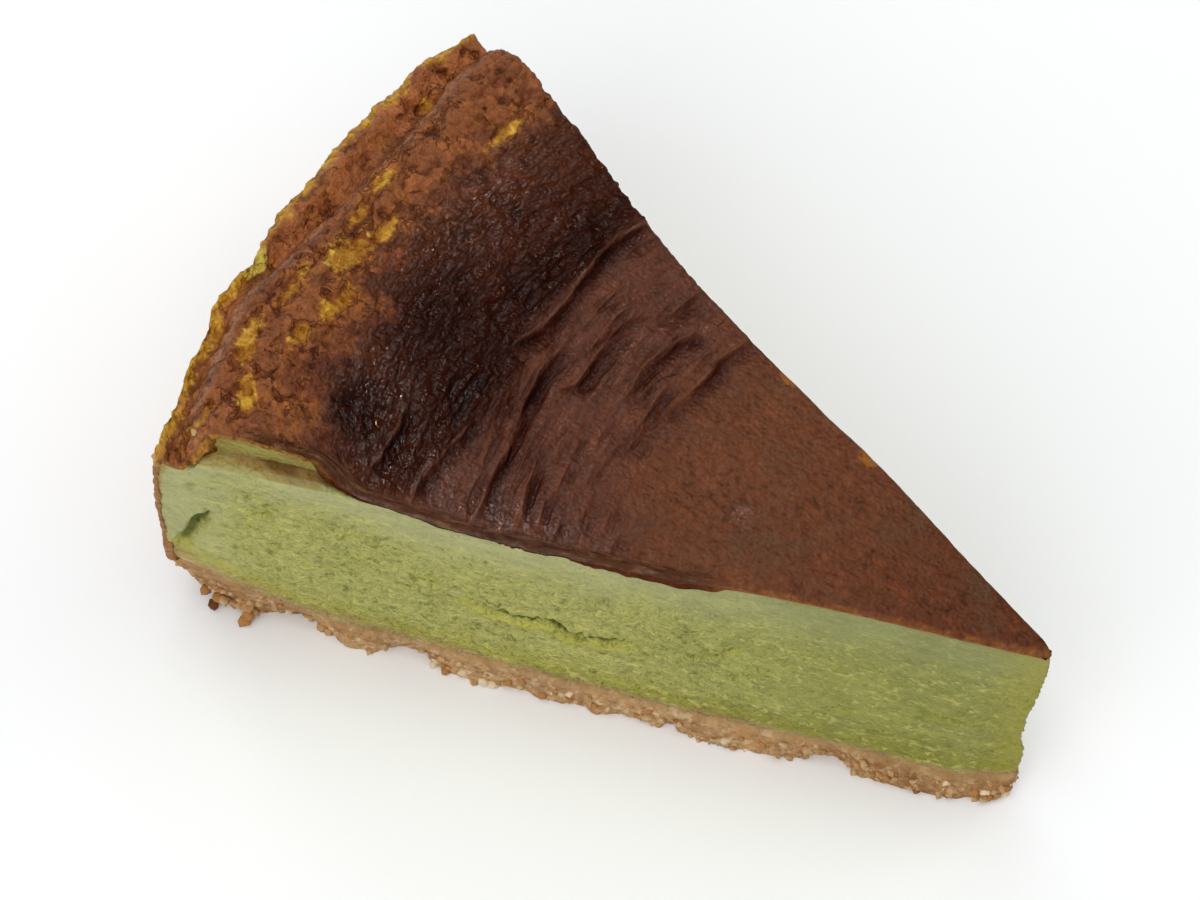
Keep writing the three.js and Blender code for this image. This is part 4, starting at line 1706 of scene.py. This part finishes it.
# %% Make the skin's finish
def make_skin_finish():
    """The browned skin's material."""
    finish = Finish("browned_skin")
    fields = SkinFields(finish)
    charred = paint_zones(finish, fields)
    raised = paint_folds(finish, fields)
    rim, sunk = paint_rim(finish, fields)
    dull, streaks = paint_edge(finish, fields)
    # Painted shade: the relief's hollows are darkened.
    finish.paint_hollow_shade(SKIN_HOLLOW_SHADE, -0.40, 0.02)
    dotted = fields.grit * rim.step(0, 1, 0.35, 0.6)
    finish.tint(dotted.fade(-0.6, 0.1, 0.8), GRIT_SHADE)
    drops, wrinkly = finish.kept("moist", "wrinkly")
    flakes = (finish.random_shade(1.2, 1.8, 33.0) * 0.24 + fields.fine * 0.34) * rim
    beads = fields.beads * charred.step(0, 1, 0.06, 0.28) * (drops + 1.0)
    height = flakes + beads + raised + streaks - sunk * 0.24
    finish.bump(finish.grain(0.9, 0.17, 0.45, 0.07) + height * MM)
    moist = (charred * 0.8).most(wrinkly * 0.6).most(drops * 1.3)
    wet = moist * fields.arcs.wander(0.5, fields.broad).step(-0.1, 0.3)
    gloss = wet.step(0, 1, 0.45, 0.21) + drops * -0.07 + rim * 0.05 + fields.fine * 0.07
    shine = (drops * 0.5 + charred * 0.10 + 0.23) * dull.fade(0, 1)
    return finish.done(gloss, shine)


skin_finish = make_skin_finish()

# %% [markdown]
# The custard's finish
#
# The custard is green with fine tea powder: paler and greyer under the skin, yellower
# in its middle and at the torn places, and brown for a millimetre along the skin. Painted
# shade darkens its pits, cracks and hollows, and in part its end towards the tip. It is
# moist but not glossy.

# %% Set the custard's colours
GREEN_PALE = around((0.415, 0.408, 0.172), 0.14)
GREEN_RICH = around((0.485, 0.467, 0.132), 0.18)
GREEN_LOW = around((0.425, 0.392, 0.066), 0.22)
GREEN_TORN = (0.56, 0.52, 0.055)
# Painted shade inside cracks and tears
CRACK_SHADE_GREEN = (0.11, 0.13, 0.008)
GREEN_FLECK = (0.62, 0.59, 0.17)
# Painted shade in the pits
PIT_SHADE_GREEN = (0.17, 0.20, 0.030)
# Painted shade for the custard's hollows
CUSTARD_HOLLOW_SHADE = (0.52, 0.58, 0.32)
FOOT_TAN = ((0.33, 0.20, 0.075), (0.44, 0.28, 0.125), (0.56, 0.39, 0.20))
SHELF_BROWN = ((0.16, 0.085, 0.020), (0.34, 0.220, 0.065), (0.46, 0.390, 0.120))
# Painted shade in the corner at the back of the shelf
SHELF_CORNER_SHADE = (0.13, 0.070, 0.020)
STRIP_YELLOW = (0.80, 0.70, 0.42)
STRIP_BROWN = (0.30, 0.135, 0.028)
SKIN_TINGE = (0.34, 0.20, 0.035)
TIP_GREEN = (0.36, 0.320, 0.030)
# Darker towards the tip: partly the custard's colour, partly painted shade
TIP_COLOUR_AND_SHADE = (0.55, 0.58, 0.40)
print("Greens from", GREEN_RICH[1], "to", CRACK_SHADE_GREEN)


# %% Make the custard's finish
def make_custard_finish():
    """The custard's material."""
    finish = Finish("green_custard")
    below, above, torn, strip = finish.kept("below_skin", "above_foot", "torn", "strip")
    distance, tip, lip, shelf = finish.kept("distance", "tip", "lip", "shelf")
    broad = finish.noise(2.2, 3.0, 1.0, scaled(finish.place, (0.45, 0.45, 1.6)))
    wide = finish.noise(7.0, 2.0, 2.0)
    inside = below.wander(6.0, wide).step(3, 14)
    finish.colour = finish.mottled(broad, GREEN_PALE)
    finish.paint(inside, GREEN_RICH, broad)
    finish.paint(above.wander(3.0, wide).fade(1.0, 8.0), GREEN_LOW, broad)
    # Darker towards the tip: partly the custard's colour, partly painted shade
    finish.tint(distance.wander(14.0, wide).fade(12, 58, 0.85), TIP_COLOUR_AND_SHADE)
    on_cut = finish.on_cut(0.72, 0.52)
    streaks = finish.noise(1.0, 2.0, 41.0, on_cut) * 0.60 + finish.noise(2.4, 2.0, 42.0, on_cut) * 0.55
    strength = (inside * 0.7 + 0.3) * distance.step(22, 45, 0.95, 1.5)
    finish.paint(streaks.step(0.04, 0.34) * strength * 0.62, GREEN_FLECK)
    # Painted shade in the low places of the streaks
    finish.paint(streaks.fade(-0.44, -0.10) * strength * 0.55, PIT_SHADE_GREEN)
    finish.paint(tip * 0.6, TIP_GREEN)
    finish.paint((torn * 0.6).most(lip) * 0.75, GREEN_TORN)
    # Painted shade: the relief's hollows are darkened.
    finish.paint_hollow_shade(CUSTARD_HOLLOW_SHADE, -0.55, -0.02)
    # Painted shade inside the cracks and tears
    finish.paint(torn.wander(0.25, broad).step(0.38, 0.75, 0.0, 0.92), CRACK_SHADE_GREEN)
    finish.paint(below.wander(0.5, broad).fade(0.8, 1.5, 0.7), SKIN_TINGE)
    finish.tint(strip, STRIP_YELLOW)
    finish.paint(strip * below.wander(2.4, broad).fade(0.8, 3.6, 0.9), STRIP_BROWN)
    footing = above.wander(1.3, broad) * distance.step(50, 76, 1.0, 0.45)
    finish.paint(footing.fade(-0.2, 1.5, 0.9), FOOT_TAN, broad)
    shelf = shelf.wander(0.55, broad)
    finish.paint(shelf.step(0.1, 0.6), SHELF_BROWN, broad + wide * 0.8)
    # Painted shade in the corner at the back of the shelf
    finish.paint(shelf.step(0.95, 1.15, 0.0, 0.6), SHELF_CORNER_SHADE)
    finish.bump(finish.grain(0.8, 0.16, 0.4, 0.08) + streaks * strength * (0.6 * MM))
    return finish.done(0.6, 0.25)


custard_finish = make_custard_finish()

# %% [markdown]
# The biscuit's finish
#
# Crumbs of one biscuit differ: most are tan, some are pale and floury, some are
# toasted orange-brown. A cell texture gives each grain a tone of its own, and painted
# shade darkens the relief's hollows.

# %% Make the biscuit's finish
TAN = ((0.38, 0.200, 0.078), (0.54, 0.330, 0.150), (0.66, 0.470, 0.260))
FLOURY = (0.78, 0.62, 0.40)
TOASTED = (0.44, 0.205, 0.065)
DARK_CRUMB = (0.16, 0.055, 0.018)
ENDS_SHADE = (0.74, 0.64, 0.52)
# Painted shade for the biscuit's hollows
BISCUIT_HOLLOW_SHADE = (0.46, 0.32, 0.21)
BISCUIT_GLOSS = (0.75, 0.2)


def make_biscuit_finish():
    """The biscuit's material."""
    finish = Finish("pressed_biscuit")
    distance, rise = finish.kept("distance", "rise")
    shade = finish.random_shade(0.9, 1.4, 51.0)
    fine, broad = finish.noise(0.6, 2.0, 52.0), finish.noise(2.5, 3.0, 53.0)
    finish.colour = finish.mottled(fine * 0.7 + broad * 0.6, TAN)
    finish.paint(shade.step(0.78, 0.92, 0.0, 0.55), FLOURY)
    finish.paint((shade * 0.5 - broad * 0.8).fade(-0.05, 0.25, 0.7), TOASTED)
    ends = distance.fade(18, 32).most(distance.step(82, 90))
    finish.tint(ends * 0.85, ENDS_SHADE)
    finish.paint(rise.step(0.72, 1.0, 0.0, 0.7), FOOT_TAN[1])
    # Painted shade: the relief's hollows are darkened.
    finish.paint_hollow_shade(BISCUIT_HOLLOW_SHADE, -0.55, 0.12)
    finish.bump(finish.grain(0.9, 0.20, 0.45, 0.08))
    return finish.done(*BISCUIT_GLOSS)


biscuit_finish = make_biscuit_finish()

# %% [markdown]
# Loose crumbs
#
# Crumbs stick out of the layer's sides, most at its lower edge and near the tip. A few
# hang loose at the torn corner, and two cling to the crust. A Geometry Nodes tree
# scatters points over the sides, adds the placed ones, puts a small lump at each, and
# dents all lumps with noise, so no two are alike. Each keeps a shade for its material.

# %% Set the crumbs' sizes and finish
CRUMB_SIZES = {"Density": 0.36, "Smallest": 0.24, "Largest": 0.72, "Dent size": 0.55, "Dent depth": 0.6}
CRUMB_SEED = 7
CRUMB_STRETCH = (0.6, 1.1)
CRUMB_FACES = {"Segments": 7, "Rings": 5, "Radius": 1.0}
FULL_TURN = 6.283
# Distance, distance out of the near cut, height, size and shade of the placed crumbs
PLACED_CRUMBS = [
    (91.5, 0.6, 0.8, 0.8, 0.12), (91.2, 0.0, 1.4, 0.8, 0.15), (91.4, -0.7, 2.2, 0.9, 0.3),
    (90.6, -0.4, 1.3, 0.6, 0.3), (95.6, -0.5, 0.8, 0.7, 0.0), (95.2, -1.2, 1.5, 0.8, 0.1),
    (94.4, -1.0, 1.6, 0.7, 0.5), (93.2, -0.9, 1.5, 0.6, 0.3), (96.8, -1.7, 2.0, 0.7, 0.2),
    (92.4, -0.8, 1.8, 0.6, 0.6), (95.0, -2.6, 43.6, 0.4, 0.6), (98.9, 0.1, 41.2, 0.4, 0.3),
]


def make_crumb_finish():
    """The material of the crumbs: dark, toasted, tan or floury."""
    finish = Finish("loose_biscuit")
    shade = finish.kept("shade")
    finish.colour = finish.mix(shade.step(0.02, 0.08), DARK_CRUMB, TOASTED)
    finish.paint(shade.step(0.2, 0.4), TAN, finish.noise(0.6, 2.0, 54.0))
    finish.paint(shade.step(0.8, 0.92), FLOURY)
    return finish.done(*BISCUIT_GLOSS)


crumb_finish = make_crumb_finish()


# %% Write the crumbs' tree
def crumb_tree(finish):
    """The tree that turns placed points and a surface into crumbs."""
    inputs = {"Geometry": ("Geometry", None), "Surface": ("Object", None)}
    inputs.update({label: ("Float", value) for label, value in CRUMB_SIZES.items()})
    inputs["Seed"] = ("Int", CRUMB_SEED)
    tree, entry, leave = new_group("scatter_crumbs", "GeometryNodeTree", inputs, "Geometry")

    def random(low, high, turn):
        """A random number for each point."""
        inputs = {"Seed": entry["Seed"] + turn, 2: low, 3: high}
        return add(tree, "FunctionNodeRandomValue", inputs, 1, data_type="FLOAT")

    def store(geometry, name, value):
        """The geometry with a value kept at each point."""
        inputs = {"Geometry": geometry, "Name": name, "Value": value}
        settings = {"data_type": "FLOAT", "domain": "POINT"}
        return add(tree, "GeometryNodeStoreNamedAttribute", inputs, **settings)

    def three(values):
        """Three values as one vector."""
        return add(tree, "ShaderNodeCombineXYZ", dict(zip("XYZ", values)))

    surface = add(tree, "GeometryNodeObjectInfo", {"Object": entry["Surface"]}, "Geometry")
    density = kept(tree, "crumbs") * entry["Density"] / (MM * MM)
    inputs = {"Mesh": surface, "Density": density, "Seed": entry["Seed"]}
    spots = add(tree, "GeometryNodeDistributePointsOnFaces", inputs, "Points")
    scattered = store(spots, "crumb_size", random(entry["Smallest"], entry["Largest"], 1))
    scattered = store(scattered, "shade", random(0.05, 1.0, 2))
    placed = add(tree, "GeometryNodeMeshToPoints", {"Mesh": entry["Geometry"]})
    joined = tree.nodes.new("GeometryNodeJoinGeometry")
    for points in (scattered, placed):
        plug(tree, joined.inputs[0], points)
    turned = three([random(0.0, FULL_TURN, turn) for turn in (3, 4, 5)])
    radius = kept(tree, "crumb_size") * MM
    scale = three([radius * random(*CRUMB_STRETCH, turn) for turn in (6, 7, 8)])
    lump = add(tree, "GeometryNodeMeshUVSphere", CRUMB_FACES, "Mesh")
    everywhere = Value(tree, joined.outputs[0])
    inputs = {"Points": everywhere, "Instance": lump, "Rotation": turned, "Scale": scale}
    crumbs = add(tree, "GeometryNodeInstanceOnPoints", inputs)
    whole = add(tree, "GeometryNodeRealizeInstances", {"Geometry": crumbs})
    place = scaled(add(tree, "GeometryNodeInputPosition"), 1 / MM)
    dent = noise(place, entry["Dent size"], 1.0, 0.5, 55.0) * entry["Dent depth"] * MM
    inputs = {"Geometry": whole, "Offset": scaled(add(tree, "GeometryNodeInputNormal"), dent)}
    dented = add(tree, "GeometryNodeSetPosition", inputs)
    painted = add(tree, "GeometryNodeSetMaterial", {"Geometry": dented, "Material": finish})
    plug(tree, leave.inputs[0], painted)
    return tree


print("Crumbs at a density of", CRUMB_SIZES["Density"], "for each square millimetre")


# %% Scatter the crumbs
def make_crumbs(surface, finish):
    """The crumbs as one plain mesh."""
    rows = np.array(PLACED_CRUMBS)
    along_cut = np.array([-math.cos(HALF_TURN), -math.sin(HALF_TURN)])
    flat = rows[:, :1] * along_cut + rows[:, 1:2] * NEAR_SIDE[:2] + np.array([TIP_AT, 0.0])
    data = bpy.data.meshes.new("crumbs")
    data.from_pydata((np.column_stack([flat, rows[:, 2]]) * MM).tolist(), [], [])
    for name, column in (("crumb_size", 3), ("shade", 4)):
        data.attributes.new(name, "FLOAT", "POINT").data.foreach_set("value", rows[:, column])
    piece = bpy.data.objects.new("crumbs", data)
    bpy.context.scene.collection.objects.link(piece)
    return settle(piece, crumb_tree(finish), {"Surface": surface, "Seed": CRUMB_SEED, **CRUMB_SIZES})


crumbs = make_crumbs(biscuit, crumb_finish)

# %% [markdown]
# Hand over
#
# Each piece rides on the one body and takes its finish, and the CAD node that it
# stands for is hidden.

# %% Ride, replace and finish
PIECES = (
    (skin, skin_finish, "burnt_custard", "custard"),
    (custard, custard_finish, "burnt_custard", "custard"),
    (biscuit, biscuit_finish, "biscuit_base", "biscuit"),
    (crumbs, crumb_finish, "biscuit_base", "biscuit"),
)
for piece, finish, node, slot in PIECES:
    piece.data.materials.clear()
    piece.data.materials.append(finish)
    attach(piece, "root")
    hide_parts(node)
